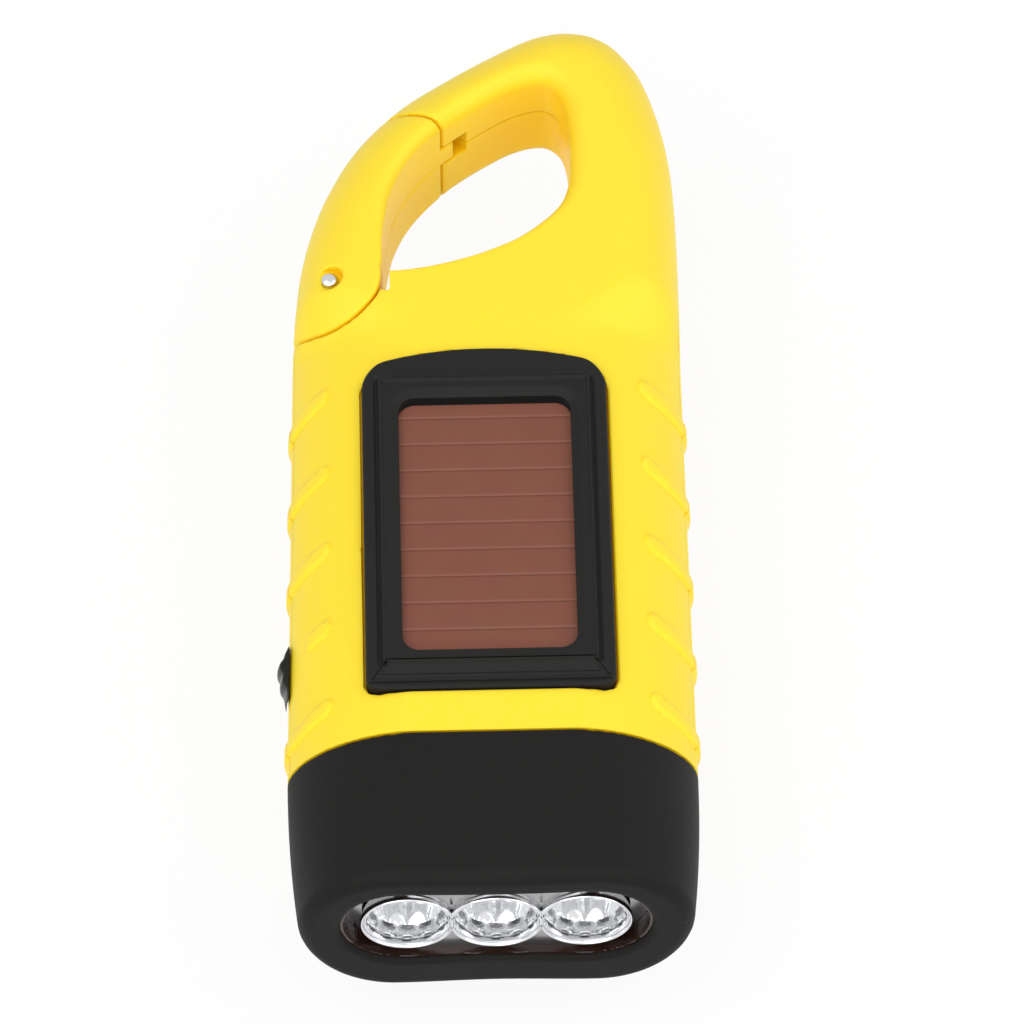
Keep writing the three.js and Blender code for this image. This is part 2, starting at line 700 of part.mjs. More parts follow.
function frontShell() {
  const seatLow = BEZEL_SEAT_Z - BEZEL_SEAT_THICK;
  const seat = prism(bezelOutline(-BEZEL_LEDGE), seatLow, BEZEL_SEAT_Z);
  const cradle = [-1, 1].map((side) => {
    const y = CELL_Y + side * (CELL_RADIUS + RUN + WALL / 4);
    return block(
      [-CELL_LENGTH, y - WALL / 4, CELL_Z],
      [CELL_LENGTH, y + WALL / 4, seatLow + BEZEL_SEAT_THICK / 2],
    );
  });
  const bosses = SCREW_PLACES.map((place) =>
    post(place, PARTING_Z + GAP / 2, FRONT_Z, SCREW_BOSS, 10).intersect(wallCore),
  );
  return without(bothShells.intersect(FRONT_HALF).add(union([seat, ...cradle, ...bosses])), [
    prism(bezelOutline(-GAP), BEZEL_SEAT_Z, FRONT_Z + OVERRUN),
    post([0, BEZEL_LOW_Y + BEZEL_LENGTH / 2], 0, FRONT_Z, WIRE_HOLE, 10),
    springPocket(),
    ...SCREW_PLACES.map((place) => post(place, 0, SCREW_TIP_Z + GAP, SCREW_RADIUS + GAP, 8)),
  ]);
}

// Crank under the back: hub, arm and folding knob.
const HUB = [0, SEAM_Y + HUB_TO_SEAM];
const HUB_RADIUS = 7.2;
const ARM_LENGTH = 35; // from the hub to the knob's hinge, towards the head
const ARM_TIP_RADIUS = 6.4;
const ARM_TOP_Z = 8.8;
const ARM_EDGE = 0.8; // chamfer of its outer edge
const CRANK_BOSS_Z = 9.4; // outer face of the bearing boss on the back
const CRANK_BOSS_RADIUS = 10;
const CRANK_AXLE_RADIUS = 3;
const CRANK_AXLE_LOW_Z = 3;
const CRANK_FLAT = 0.7; // depth of the flat that drives the gear
const CRANK_SCREW_RADIUS = 1.2;
const CRANK_SCREW_HEAD = 2.8;
const CRANK_SCREW_SEAT_Z = 1.9;
const CRANK_SCREW_LOW_Z = 0.4;
const CRANK_SCREW_DEPTH = 6; // how far it goes into the axle

const KNOB_RADIUS = 3.4;
const KNOB_Z = 3.9;
const KNOB_START = 5.2; // from the hinge to the grip
const KNOB_LENGTH = 17;
const KNOB_STEM_RADIUS = 1.5;
const KNOB_CAP = 1.4; // thickness of the cap that keeps the grip on
const KNOB_FLUTES = 8;
const FLUTE_RADIUS = 0.55;
const HINGE_PIN_RADIUS = 0.9;
const HINGE_PIN_HALF = 5.9;
const SLOT_DEPTH_SPARE = 0.4;
const KNOB_EYE_WIDTH = 5;

const HINGE = [HUB[0], HUB[1] - ARM_LENGTH];
const SLOT_TOP_Z = KNOB_Z + KNOB_RADIUS + SLOT_DEPTH_SPARE;

// Arm outline: two round ends joined by straight sides.
function armOutline(inset) {
  const lean = THREE.MathUtils.radToDeg(Math.asin((HUB_RADIUS - ARM_TIP_RADIUS) / ARM_LENGTH));
  return [
    ...arc(HUB, HUB_RADIUS - inset, -lean, 180 + lean, 10),
    ...arc(HINGE, ARM_TIP_RADIUS - inset, 180 + lean, 360 - lean, 10),
  ];
}

const ringAt = (points, z) => points.map(([x, y]) => new THREE.Vector3(x, y, z));

function crankArm() {
  const arm = loft([
    ringAt(armOutline(ARM_EDGE), 0),
    ringAt(armOutline(0), ARM_EDGE),
    ringAt(armOutline(0), ARM_TOP_Z - ARM_EDGE / 2),
    ringAt(armOutline(ARM_EDGE / 2), ARM_TOP_Z),
  ]);
  const slotHalf = KNOB_RADIUS + RUN;
  const slotEnd = HINGE[1] + KNOB_START + KNOB_LENGTH + KNOB_CAP + RUN * 2;
  const slot = block(
    [-slotHalf, HINGE[1] - KNOB_RADIUS - RUN, -OVERRUN],
    [slotHalf, slotEnd, SLOT_TOP_Z],
  );
  const finger = turnedAlong("x", bar(-slotHalf, slotHalf, KNOB_RADIUS), [HINGE[0], slotEnd, 0], 12);
  const pinBore = turnedAlong(
    "x",
    bar(-HUB_RADIUS, HUB_RADIUS, HINGE_PIN_RADIUS + GAP),
    [...HINGE, KNOB_Z],
    10,
  );
  return without(arm, [
    slot,
    finger,
    pinBore,
    post(HUB, CRANK_AXLE_LOW_Z - GAP, ARM_TOP_Z + OVERRUN, CRANK_AXLE_RADIUS + GAP, 16),
    post(HUB, -OVERRUN, ARM_TOP_Z, CRANK_SCREW_RADIUS + GAP, 10),
    post(HUB, -OVERRUN, CRANK_SCREW_SEAT_Z, CRANK_SCREW_HEAD + GAP, 16),
  ]);
}

// Driving flat of the crank axle, as a plan block that is cut away; grow opens it for the gear's bore.
function axleFlat(low, high, grow) {
  const x = CRANK_AXLE_RADIUS - CRANK_FLAT + grow;
  return block(
    [HUB[0] + x, HUB[1] - CRANK_AXLE_RADIUS * 2, low],
    [HUB[0] + CRANK_AXLE_RADIUS * 2, HUB[1] + CRANK_AXLE_RADIUS * 2, high],
  );
}

function crankAxle() {
  const top = CRANK_GEAR_Z + CRANK_GEAR_THICK;
  const collarTop = CRANK_GEAR_Z - GAP;
  return without(
    union([
      post(HUB, CRANK_AXLE_LOW_Z, top, CRANK_AXLE_RADIUS, 16),
      post(HUB, collarTop - AXLE_COLLAR, collarTop, CRANK_AXLE_RADIUS + AXLE_COLLAR, 16),
    ]),
    [
      axleFlat(CRANK_GEAR_Z - GAP, top + OVERRUN, 0),
      post(
        HUB,
        0,
        CRANK_SCREW_SEAT_Z + CRANK_SCREW_DEPTH + GAP,
        CRANK_SCREW_RADIUS + GAP,
        10,
      ),
    ],
  );
}

// Screw pointing up, with a round head and a cross recess. Shares are of the head's radius or height.
const SCREW_FACE_SHARE = 0.8;
const CROSS_REACH_SHARE = 0.6;
const CROSS_HALF_SHARE = 0.13;
const CROSS_DEPTH_SHARE = 0.5;

function screw(place, low, head, headRadius, radius, tip) {
  const body = turned(
    [
      [0, low],
      [headRadius * SCREW_FACE_SHARE, low],
      [headRadius, low + head / 3],
      [headRadius, low + head],
      [radius, low + head],
      [radius, tip - radius],
      [0, tip],
    ],
    [...place, 0],
    8,
  );
  const arm = headRadius * CROSS_REACH_SHARE;
  const half = headRadius * CROSS_HALF_SHARE;
  const depth = head * CROSS_DEPTH_SHARE;
  const [x, y] = place;
  const cross = union([
    block([x - arm, y - half, low - head], [x + arm, y + half, low + depth]),
    block([x - half, y - arm, low - head], [x + half, y + arm, low + depth]),
  ]);
  return body.subtract(cross);
}

const crankScrew = () =>
  screw(
    HUB,
    CRANK_SCREW_LOW_Z,
    CRANK_SCREW_SEAT_Z - CRANK_SCREW_LOW_Z - GAP,
    CRANK_SCREW_HEAD,
    CRANK_SCREW_RADIUS,
    CRANK_SCREW_SEAT_Z + CRANK_SCREW_DEPTH,
  );

// Stem with the hinge eye, lying in the arm's slot at rest, and the cap that keeps the grip on.
function knobStem() {
  const half = KNOB_EYE_WIDTH / 2;
  const eye = turnedAlong("x", bar(-half, half, KNOB_RADIUS - GAP), [...HINGE, KNOB_Z], 16);
  const end = KNOB_START + KNOB_LENGTH + GAP;
  const edge = KNOB_CAP / 3;
  const rod = turnedAlong(
    "y",
    [
      [0, 0],
      [KNOB_STEM_RADIUS + edge * 2, 0],
      [KNOB_STEM_RADIUS + edge * 2, KNOB_START - GAP],
      [KNOB_STEM_RADIUS, KNOB_START - GAP],
      [KNOB_STEM_RADIUS, end],
      [KNOB_RADIUS - edge, end],
      [KNOB_RADIUS - edge, end + KNOB_CAP - GAP - edge],
      [KNOB_RADIUS - edge * 2, end + KNOB_CAP - GAP],
      [0, end + KNOB_CAP - GAP],
    ],
    [...HINGE, KNOB_Z],
    12,
  );
  const bore = turnedAlong("x", bar(-OVERRUN, OVERRUN, HINGE_PIN_RADIUS + GAP), [...HINGE, KNOB_Z], 10);
  return eye.add(rod).subtract(bore);
}

// Fluted grip that turns on the stem.
function knobGrip() {
  const edge = KNOB_CAP / 3;
  const bore = KNOB_STEM_RADIUS + RUN;
  const sleeve = turnedAlong(
    "y",
    [
      [bore, 0],
      [KNOB_RADIUS - edge, 0],
      [KNOB_RADIUS, edge],
      [KNOB_RADIUS, KNOB_LENGTH - edge],
      [KNOB_RADIUS - edge, KNOB_LENGTH],
      [bore, KNOB_LENGTH],
      [bore, 0],
    ],
    [HINGE[0], HINGE[1] + KNOB_START, KNOB_Z],
    20,
  );
  const flutes = [];
  for (let k = 0; k < KNOB_FLUTES; k += 1) {
    const turn = radians((k * 360) / KNOB_FLUTES);
    flutes.push(
      turnedAlong(
        "y",
        bar(KNOB_CAP, KNOB_LENGTH - KNOB_CAP, FLUTE_RADIUS),
        [
          HINGE[0] + KNOB_RADIUS * Math.cos(turn),
          HINGE[1] + KNOB_START,
          KNOB_Z + KNOB_RADIUS * Math.sin(turn),
        ],
        4,
      ),
    );
  }
  return without(sleeve, flutes);
}

const knobHingePin = () =>
  turnedAlong(
    "x",
    bar(-HINGE_PIN_HALF, HINGE_PIN_HALF, HINGE_PIN_RADIUS),
    [...HINGE, KNOB_Z],
    10,
  );

// Step-up gear train: crank gear, two compound gears and the rotor's pinion.
const BACKLASH = 0.24; // taken off the width of each tooth
const DEDENDUM_SHARE = 1.15;
const FLANK_ANGLE = 20; // degrees
const ROOT_FLARE = 0.75;
const CRANK_GEAR_Z = 14.4;
const CRANK_GEAR_THICK = 2.4;
const AXLE_COLLAR = 1;
const SECOND_GEAR_Z = 17.6;
const THIRD_GEAR_Z = 20.1;
const GEAR_THICK = 1.6;
const PINION_SPARE = 0.5; // a pinion is this much taller than its wheel's partner at each end
const AXLE_RADIUS = 0.9;
const PLATE_Z = 22.8; // gear plate over the train
const PLATE_THICK = 1.2;

const SECOND = secondFrom(HUB);
const THIRD = thirdFrom(SECOND);
const ROTOR = rotorFrom(THIRD);

// Plan outline of a gear, turned so that the middle of a tooth points the given way.
function gearOutline(centre, module, teeth, toothTurn) {
  const pitch = (module * teeth) / 2;
  const tip = pitch + module * ADDENDUM_SHARE;
  const root = pitch - module * DEDENDUM_SHARE;
  const half = (Math.PI * module) / 4 - BACKLASH / 2;
  const slope = Math.tan(radians(FLANK_ANGLE)) * module;
  const step = 360 / teeth;
  const at = (radius, width) => THREE.MathUtils.radToDeg(width / radius);
  const rootHalf = at(root, half + slope * ROOT_FLARE);
  const tipHalf = at(tip, half - slope * ADDENDUM_SHARE);
  const points = [];
  for (let k = 0; k < teeth; k += 1) {
    const middle = toothTurn + k * step;
    points.push(
      polar(centre, root, middle - rootHalf),
      polar(centre, tip, middle - tipHalf),
      polar(centre, tip, middle + tipHalf),
      polar(centre, root, middle + rootHalf),
    );
  }
  return points;
}

// Turn of the driven gear that puts a gap opposite the driver's tooth.
function meshedTurn(driverTurn, driverTeeth, drivenTeeth, direction) {
  const offset = (direction - driverTurn) * (driverTeeth / drivenTeeth);
  return direction + 180 + offset + 180 / drivenTeeth;
}

// Posts that carry the gear plate, as shares of the half width and of the cavity's length from the seam.
const plate_post_shares = [[-0.6, 0.1315], [0.097, 0.106], [0.756, 0.36], [-0.775, 0.536]];
const plate_shares = [
  [-0.636, 0.098], [0.19, 0.062], [0.56, 0.09], [0.845, 0.29], [0.845, 0.42],
  [0.39, 0.51], [-0.54, 0.585], [-0.862, 0.585], [-0.862, 0.199],
];
const PLATE_POST = 1.6;
const PLATE_STUD = 0.9;
const BEARING_BOSS = 1.8;
const cavityPlace = ([x, y]) => [x * HALF_WIDTH, SEAM_Y + y * CAVITY_LENGTH];

const FIRST_PINION_LOW = CRANK_GEAR_Z - PINION_SPARE;
const SECOND_PINION_LOW = SECOND_GEAR_Z - PINION_SPARE;
const THIRD_PINION_LOW = THIRD_GEAR_Z - PINION_SPARE;
const THIRD_PINION_TOP = THIRD_GEAR_Z + GEAR_THICK + PINION_SPARE;
const FLOOR_Z = BACK_Z + WALL;
const AXLE_SINK = 1.2; // how far an axle's foot goes into its boss

// Bearing bosses of the rear shell: place, and the height that each reaches.
const BEARINGS = [
  [SECOND, FIRST_PINION_LOW - RUN],
  [THIRD, SECOND_PINION_LOW - RUN],
  [ROTOR, THIRD_PINION_LOW - RUN],
];

function backShell() {
  const root = BACK_Z + WALL / 2;
  const bearings = BEARINGS.map(([place, top]) => post(place, root, top, BEARING_BOSS, 8));
  const posts = plate_post_shares.map(cavityPlace).map((place) => {
    const pillar = post(place, root, PLATE_Z - RUN, PLATE_POST, 8);
    const stud = post(place, PLATE_Z - RUN * 2, PLATE_Z + PLATE_THICK, PLATE_STUD, 6);
    const onCurve = Math.abs(place[0]) > HALF_WIDTH - BACK_EDGE;
    return onCurve ? pillar.intersect(wallCore).add(stud) : pillar.add(stud);
  });
  const screwBosses = SCREW_PLACES.map((place) =>
    post(place, 0, PARTING_Z - GAP / 2, SCREW_BOSS, 10).intersect(wallCore),
  );
  const hub = post(HUB, CRANK_BOSS_Z, FLOOR_Z - WALL / 4, CRANK_BOSS_RADIUS, 24, CRANK_BOSS_RADIUS + RUN);
  const solid = bothShells.intersect(BACK_HALF).add(union([...bearings, ...posts, ...screwBosses, hub]));
  return without(solid, [
    post(HUB, 0, PARTING_Z, CRANK_AXLE_RADIUS + RUN, 16),
    ...BEARINGS.map(([place, top]) => post(place, top - AXLE_SINK, PARTING_Z, AXLE_RADIUS + GAP / 2, 8)),
    ...SCREW_PLACES.flatMap((place) => [
      post(place, 0, PARTING_Z, SCREW_RADIUS + GAP, 8),
      post(place, 0, SCREW_SEAT_Z, SCREW_HEAD_RADIUS + GAP, 10),
    ]),
  ]);
}

const housingScrew = (place) =>
  screw(
    place,
    SCREW_SEAT_Z - SCREW_HEAD - GAP,
    SCREW_HEAD,
    SCREW_HEAD_RADIUS,
    SCREW_RADIUS,
    SCREW_TIP_Z,
  );

// Teeth turned so that each pair is in mesh at rest.
const CRANK_TURN = 0;
const SECOND_TURN = meshedTurn(CRANK_TURN, CRANK_TEETH, PINION_TEETH, MESH_TURN[0]);
const THIRD_TURN = meshedTurn(SECOND_TURN, SECOND_TEETH, PINION_TEETH, MESH_TURN[1]);
const ROTOR_TURN = meshedTurn(THIRD_TURN, THIRD_TEETH, PINION_TEETH, MESH_TURN[2]);

const WEB_SINK = 0.5; // depth of the dished face between a wheel's hub and its rim
const RIM_MODULES = 3; // from the pitch circle in to that face
const GEAR_HUB_SHARE = 2.4; // of the axle's radius
const SPOKE_HOLES = 5;
const SPOKE_HOLE_SHARE = 0.32; // of the room between the bore's collar and the rim

function crankGear() {
  const wheel = prism(
    gearOutline(HUB, FIRST_MODULE, CRANK_TEETH, CRANK_TURN),
    CRANK_GEAR_Z,
    CRANK_GEAR_Z + CRANK_GEAR_THICK,
  );
  const rim = (FIRST_MODULE * CRANK_TEETH) / 2 - FIRST_MODULE * RIM_MODULES;
  const inner = CRANK_AXLE_RADIUS * 2;
  const holes = [];
  for (let k = 0; k < SPOKE_HOLES; k += 1) {
    const centre = polar(HUB, (rim + inner) / 2, (k * 360) / SPOKE_HOLES);
    holes.push(post(centre, 0, FRONT_Z, (rim - inner) * SPOKE_HOLE_SHARE, 10));
  }
  const bore = post(HUB, 0, FRONT_Z, CRANK_AXLE_RADIUS + GAP / 2, 16)
    .subtract(axleFlat(0, FRONT_Z, GAP / 2));
  return without(wheel, [...holes, bore]);
}

// Wheel and pinion in one, on a still axle.
function compoundGear(centre, low, lowModule, pinionTurn, wheelLow, wheelTeeth, wheelTurn) {
  const pinion = prism(
    gearOutline(centre, lowModule, PINION_TEETH, pinionTurn),
    low,
    wheelLow + GEAR_THICK / 2,
  );
  const wheel = prism(
    gearOutline(centre, FINE_MODULE, wheelTeeth, wheelTurn),
    wheelLow,
    wheelLow + GEAR_THICK,
  );
  const rim = (FINE_MODULE * wheelTeeth) / 2 - FINE_MODULE * RIM_MODULES;
  const dish = post(centre, wheelLow + GEAR_THICK - WEB_SINK, FRONT_Z, rim, 18)
    .subtract(post(centre, 0, FRONT_Z, AXLE_RADIUS * GEAR_HUB_SHARE, 12));
  return without(pinion.add(wheel), [dish, post(centre, 0, FRONT_Z, AXLE_RADIUS + GAP / 2, 10)]);
}

const secondGear = () =>
  compoundGear(SECOND, FIRST_PINION_LOW, FIRST_MODULE, SECOND_TURN, SECOND_GEAR_Z, SECOND_TEETH, SECOND_TURN);
const thirdGear = () =>
  compoundGear(THIRD, SECOND_PINION_LOW, FINE_MODULE, THIRD_TURN, THIRD_GEAR_Z, THIRD_TEETH, THIRD_TURN);

const axlePin = (place, low, high) => post(place, low, high, AXLE_RADIUS, 10);
const axleLow = (top) => top - AXLE_SINK + GAP;

function rotorPinion() {
  return prism(
    gearOutline(ROTOR, FINE_MODULE, PINION_TEETH, ROTOR_TURN),
    THIRD_PINION_LOW,
    THIRD_PINION_TOP,
  ).subtract(post(ROTOR, 0, FRONT_Z, AXLE_RADIUS + GAP / 2, 10));
}

function gearPlate() {
  const sheet = prism(plate_shares.map(cavityPlace), PLATE_Z, PLATE_Z + PLATE_THICK);
  const holes = [SECOND, THIRD, ROTOR].map((place) => post(place, 0, FRONT_Z, AXLE_RADIUS + GAP / 2, 10));
  const studs = plate_post_shares
    .map(cavityPlace)
    .map((place) => post(place, 0, FRONT_Z, PLATE_STUD + GAP / 2, 6));
  return without(sheet, [...holes, ...studs]);
}

// Generator: a round magnet on the rotor's shaft, inside a C-shaped yoke whose bar carries the coil.
const MAGNET_HEIGHT = 4.4;
const POLE_START = 60; // degrees round the rotor
const POLE_END = 140;
const YOKE_HEIGHT = 3.4;
const YOKE_BAR_REACH = 15.6; // from the rotor's axis to the coil's bar
const COIL_WALL = 2.2; // thickness of the winding on its bar
const COIL_FLANGE = 0.8;
const MAGNET_LOW = PLATE_Z + PLATE_THICK + MAGNET_GAP;
const MAGNET_TOP = MAGNET_LOW + MAGNET_HEIGHT;
const SHAFT_TOP = MAGNET_TOP + MAGNET_GAP;
const YOKE_LOW = PLATE_Z + PLATE_THICK + GAP + COIL_WALL / 4;

const rotorMagnet = () =>
  post(ROTOR, MAGNET_LOW, MAGNET_TOP, MAGNET_RADIUS, 20)
    .subtract(post(ROTOR, 0, FRONT_Z, AXLE_RADIUS + GAP / 2, 10));

function statorYoke() {
  const inner = MAGNET_RADIUS + MAGNET_GAP;
  const outer = inner + YOKE_WIDTH;
  const high = YOKE_LOW + YOKE_HEIGHT;
  const pole = (from, to) =>
    prism([...arc(ROTOR, outer, from, to, 6), ...arc(ROTOR, inner, to, from, 6)], YOKE_LOW, high);
  const arm = (side) =>
    block(
      [ROTOR[0] - YOKE_BAR_REACH, ROTOR[1] + side * outer - YOKE_WIDTH * (side + 1) / 2, YOKE_LOW],
      [ROTOR[0], ROTOR[1] + side * outer + YOKE_WIDTH * (1 - side) / 2, high],
    );
  const bridge = block(
    [ROTOR[0] - YOKE_BAR_REACH, ROTOR[1] - outer, YOKE_LOW],
    [ROTOR[0] - YOKE_BAR_REACH + YOKE_WIDTH, ROTOR[1] + outer, high],
  );
  const poles = [pole(POLE_START, POLE_END), pole(-POLE_END, -POLE_START)];
  return union([...poles, arm(1), arm(-1), bridge]).subtract(post(ROTOR, 0, FRONT_Z, inner, 24));
}

function statorCoil() {
  const outer = MAGNET_RADIUS + MAGNET_GAP;
  const x0 = ROTOR[0] - YOKE_BAR_REACH;
  const x1 = x0 + YOKE_WIDTH;
  const high = YOKE_LOW + YOKE_HEIGHT;
  const half = outer - GAP;
  const box = (spread, low, far) =>
    block(
      [x0 - spread, ROTOR[1] + low, YOKE_LOW - Math.min(spread, COIL_WALL / 4)],
      [x1 + spread, ROTOR[1] + far, high + spread],
    );
  const winding = box(COIL_WALL - COIL_FLANGE / 2, -half, half);
  const flanges = [box(COIL_WALL, -half, COIL_FLANGE - half), box(COIL_WALL, half - COIL_FLANGE, half)];
  const hollow = block(
    [x0 - GAP, ROTOR[1] - outer - YOKE_WIDTH, YOKE_LOW - GAP],
    [x1 + GAP, ROTOR[1] + outer + YOKE_WIDTH, high + GAP],
  );
  return union([winding, ...flanges]).subtract(hollow);
}

// Head: black bezel with the lens opening, reflector, lenses and LEDs.
const HEAD_EDGE = 12; // rounding of the head's long corners at its front
const HEAD_TAPER = 1.3; // how much narrower each side is at the front
const HEAD_WAIST = 0.4; // shallow waist of the long sides
const WAIST_HALF = 12;
const HEAD_DROP = 1.1; // how much lower its back is at the front
const HEAD_ROUND = 1.8; // rounding of the front rim
const HEAD_WALL = 2.2;
const FACE_WALL = 2.6;
const OPENING_HALF_WIDTH = 19.4;
const OPENING_LOW_Z = 16.2;
const OPENING_HIGH_Z = 31.9;
const LIP_LENGTH = 1.6; // spigot that goes into the shells
const LIP_WALL = 1.1;
const LIP_CLEAR = 0.8; // between the spigot and the shells
const LENS_PITCH = 11.1;
const LENS_Z = 23.6;
const CUP_RADIUS = 5.9;
const CUP_RECESS = 1; // rims behind the front of the head
const PLATE_WALL = 1.2;
const PLATE_MARGIN = 1.2; // the reflector's plate reaches this far behind the opening's edge
const CUP_LENGTH = 10;
const CUP_BACK_RADIUS = 3.4;
const CUP_BORE = 2.75;
const LENS_RADIUS = 5.3;
const LENS_THICK = 1.5;
const LENS_DOME = 0.9;
const LED_RADIUS = 2.1;
const LED_FLANGE = 2.5;
const LED_FLANGE_THICK = 0.9;
const LED_LENGTH = 6;
const LED_BOARD_HALF = 16.5;
const LED_BOARD_THICK = 1.4;
const LED_BOARD_HEIGHT = 10;
const LED_GAP = 2; // from the back of the cups to the board
const SPACER_RADIUS = 1.1;

// Points along the flat part of a long side, from right to left.
const long_side_shares = [0.6, 0.2, -0.2, -0.6];

// Cross-section of the head at a length, shrunk by a wall.
function headRing(y, shrink = 0, powerSteps = 4) {
  const t = THREE.MathUtils.clamp((SEAM_Y - y) / HEAD_LENGTH, 0, 1);
  const half = HALF_WIDTH - HEAD_TAPER * Math.pow(t, 2.2) - shrink;
  const low = BACK_Z - HEAD_DROP * t + shrink;
  const points = [];
  const front = mix(FRONT_EDGE, HEAD_EDGE, t) - shrink;
  const back = mix(BACK_EDGE, HEAD_EDGE, t) - shrink;
  const quarter = (edge, depth, power, from, to) => {
    for (let k = 0; k <= powerSteps; k += 1) {
      const angle = mix(from, to, k / powerSteps);
      const sine = Math.sin(radians(angle));
      const rise = depth * Math.sign(sine) * Math.pow(Math.abs(sine), 2 / power);
      const drawn = edge * (1 - Math.pow(Math.max(Math.cos(radians(angle)), 0), 2 / power));
      points.push([half - drawn, WIDE_Z + rise]);
    }
  };
  quarter(back, WIDE_Z - low, BACK_POWER, -90, 0);
  points.pop();
  quarter(front, FRONT_Z - WIDE_Z - shrink, mix(FRONT_POWER, 2, t), 0, 90);
  const across = (z, reach) => long_side_shares.map((share) => [share * reach, z]);
  const top = across(FRONT_Z - shrink, half - front);
  const left = points.map(([x, z]) => [-x, z]).reverse();
  const bottom = across(low, back - half);
  return [...points, ...top, ...left, ...bottom].map(([x, z]) => {
    const near = Math.max(0, 1 - Math.abs(x) / WAIST_HALF);
    const dip = HEAD_WAIST * t * smooth(near);
    return new THREE.Vector3(x, y, z > WIDE_Z ? z - dip : z + dip);
  });
}

const FACE_Y = HEAD_Y + FACE_WALL;

function openingOutline(margin) {
  const radius = (OPENING_HIGH_Z - OPENING_LOW_Z) / 2;
  const middle = (OPENING_HIGH_Z + OPENING_LOW_Z) / 2;
  const reach = OPENING_HALF_WIDTH - radius;
  return stadium([-reach, middle], [reach, middle], radius + margin, 7);
}

// Prism along Y of an outline in X and Z.
function prismY(points, low, high) {
  const shape = new THREE.Shape(points.map(([x, z]) => new THREE.Vector2(x, z)));
  const geometry = new THREE.ExtrudeGeometry(shape, { depth: high - low, bevelEnabled: false });
  geometry.rotateX(Math.PI / 2);
  geometry.translate(0, high, 0);
  return solidOf(geometry);
}

// Solid through the head's cross-sections at some lengths, all shrunk by a wall.
const tube = (lengths, shrink, powerSteps) =>
  loft(lengths.map((y) => headRing(y, shrink, powerSteps)), "xz");

function headBezel() {
  const seam = SEAM_Y - GAP;
  const round = FILLET_TURNS.map((angle) => [
    HEAD_Y + HEAD_ROUND * (1 - Math.sin(radians(angle))),
    HEAD_ROUND * (1 - Math.cos(radians(angle))),
  ]);
  const outer = loft(
    [
      headRing(seam),
      headRing(mix(seam, HEAD_Y, 0.3)),
      headRing(mix(seam, HEAD_Y, 0.6)),
      ...round.map(([y, inset]) => headRing(y, inset)),
    ],
    "xz",
  );
  const inner = tube([SEAM_Y + OVERRUN, seam, FACE_Y], HEAD_WALL, 3);
  const root = seam - LIP_LENGTH * 2;
  const lipShrink = WALL + LIP_CLEAR;
  const lipOuter = tube([root, seam], HEAD_WALL / 2)
    .add(tube([seam - LIP_LENGTH, SEAM_Y + LIP_LENGTH], lipShrink));
  const lipInner = tube([root - OVERRUN, SEAM_Y + OVERRUN], lipShrink + LIP_WALL);
  const bevel = loft(
    [
      openingOutline(0).map(([x, z]) => new THREE.Vector3(x, HEAD_Y + HEAD_ROUND / 3, z)),
      openingOutline(HEAD_ROUND / 3).map(([x, z]) => new THREE.Vector3(x, HEAD_Y, z)),
      openingOutline(HEAD_ROUND / 3).map(([x, z]) => new THREE.Vector3(x, HEAD_Y - OVERRUN, z)),
    ],
    "xz",
  );
  return without(outer.subtract(inner).add(lipOuter.subtract(lipInner)), [
    prismY(openingOutline(0), HEAD_Y - OVERRUN, FACE_Y + OVERRUN / 2),
    bevel,
  ]);
}

const LENS_PLACES = [-LENS_PITCH, 0, LENS_PITCH];
const RIM_Y = HEAD_Y + CUP_RECESS;
const REFLECTOR_Y = FACE_Y + GAP;
const CUP_BACK_Y = RIM_Y + CUP_LENGTH;
const LED_BOARD_Y = CUP_BACK_Y + LED_GAP;
const LENS_SEAT = 2;
const LENS_SIDES = 14;
const CUP_BULGE = 0.35; // how far the cup has drawn in halfway to its back
// Radius and height of a lens's dome, and of an LED's round end.
const lens_dome_shares = [[0, 1], [0.45, 0.8], [0.8, 0.36]];
const led_end_shares = [[0.85, 0.5], [0.45, 0.9], [0, 1]];

// Chromed moulding: a plate behind the opening with three cups that meet rim to rim.
function reflector() {
  const plate = prismY(openingOutline(PLATE_MARGIN), REFLECTOR_Y, REFLECTOR_Y + PLATE_WALL);
  const outside = LENS_PLACES.map((x) =>
    turnedAlong(
      "y",
      [
        [0, 0],
        [CUP_RADIUS, 0],
        [CUP_RADIUS, REFLECTOR_Y + PLATE_WALL * 2 - RIM_Y],
        [CUP_BACK_RADIUS, CUP_LENGTH],
        [0, CUP_LENGTH],
      ],
      [x, RIM_Y, LENS_Z],
      LENS_SIDES,
    ),
  );
  const inside = LENS_PLACES.map((x) =>
    turnedAlong(
      "y",
      [
        [0, -OVERRUN],
        [LENS_RADIUS + GAP / 2, -OVERRUN],
        [LENS_RADIUS + GAP / 2, LENS_SEAT],
        [LENS_RADIUS - GAP * 1.5, LENS_SEAT],
        [mix(LENS_RADIUS, CUP_BORE, CUP_BULGE), mix(LENS_SEAT, CUP_LENGTH, 0.5)],
        [CUP_BORE, CUP_LENGTH - GAP],
        [CUP_BORE, CUP_LENGTH + OVERRUN],
        [0, CUP_LENGTH + OVERRUN],
      ],
      [x, RIM_Y, LENS_Z],
      LENS_SIDES,
    ),
  );
  const spacers = [-LENS_PITCH / 2, LENS_PITCH / 2].map((x) =>
    turnedAlong(
      "y",
      bar(0, LED_BOARD_Y - GAP - REFLECTOR_Y, SPACER_RADIUS),
      [x, REFLECTOR_Y, LENS_Z - CUP_RADIUS + SPACER_RADIUS],
      8,
    ),
  );
  return without(union([plate, ...outside, ...spacers]), inside);
}

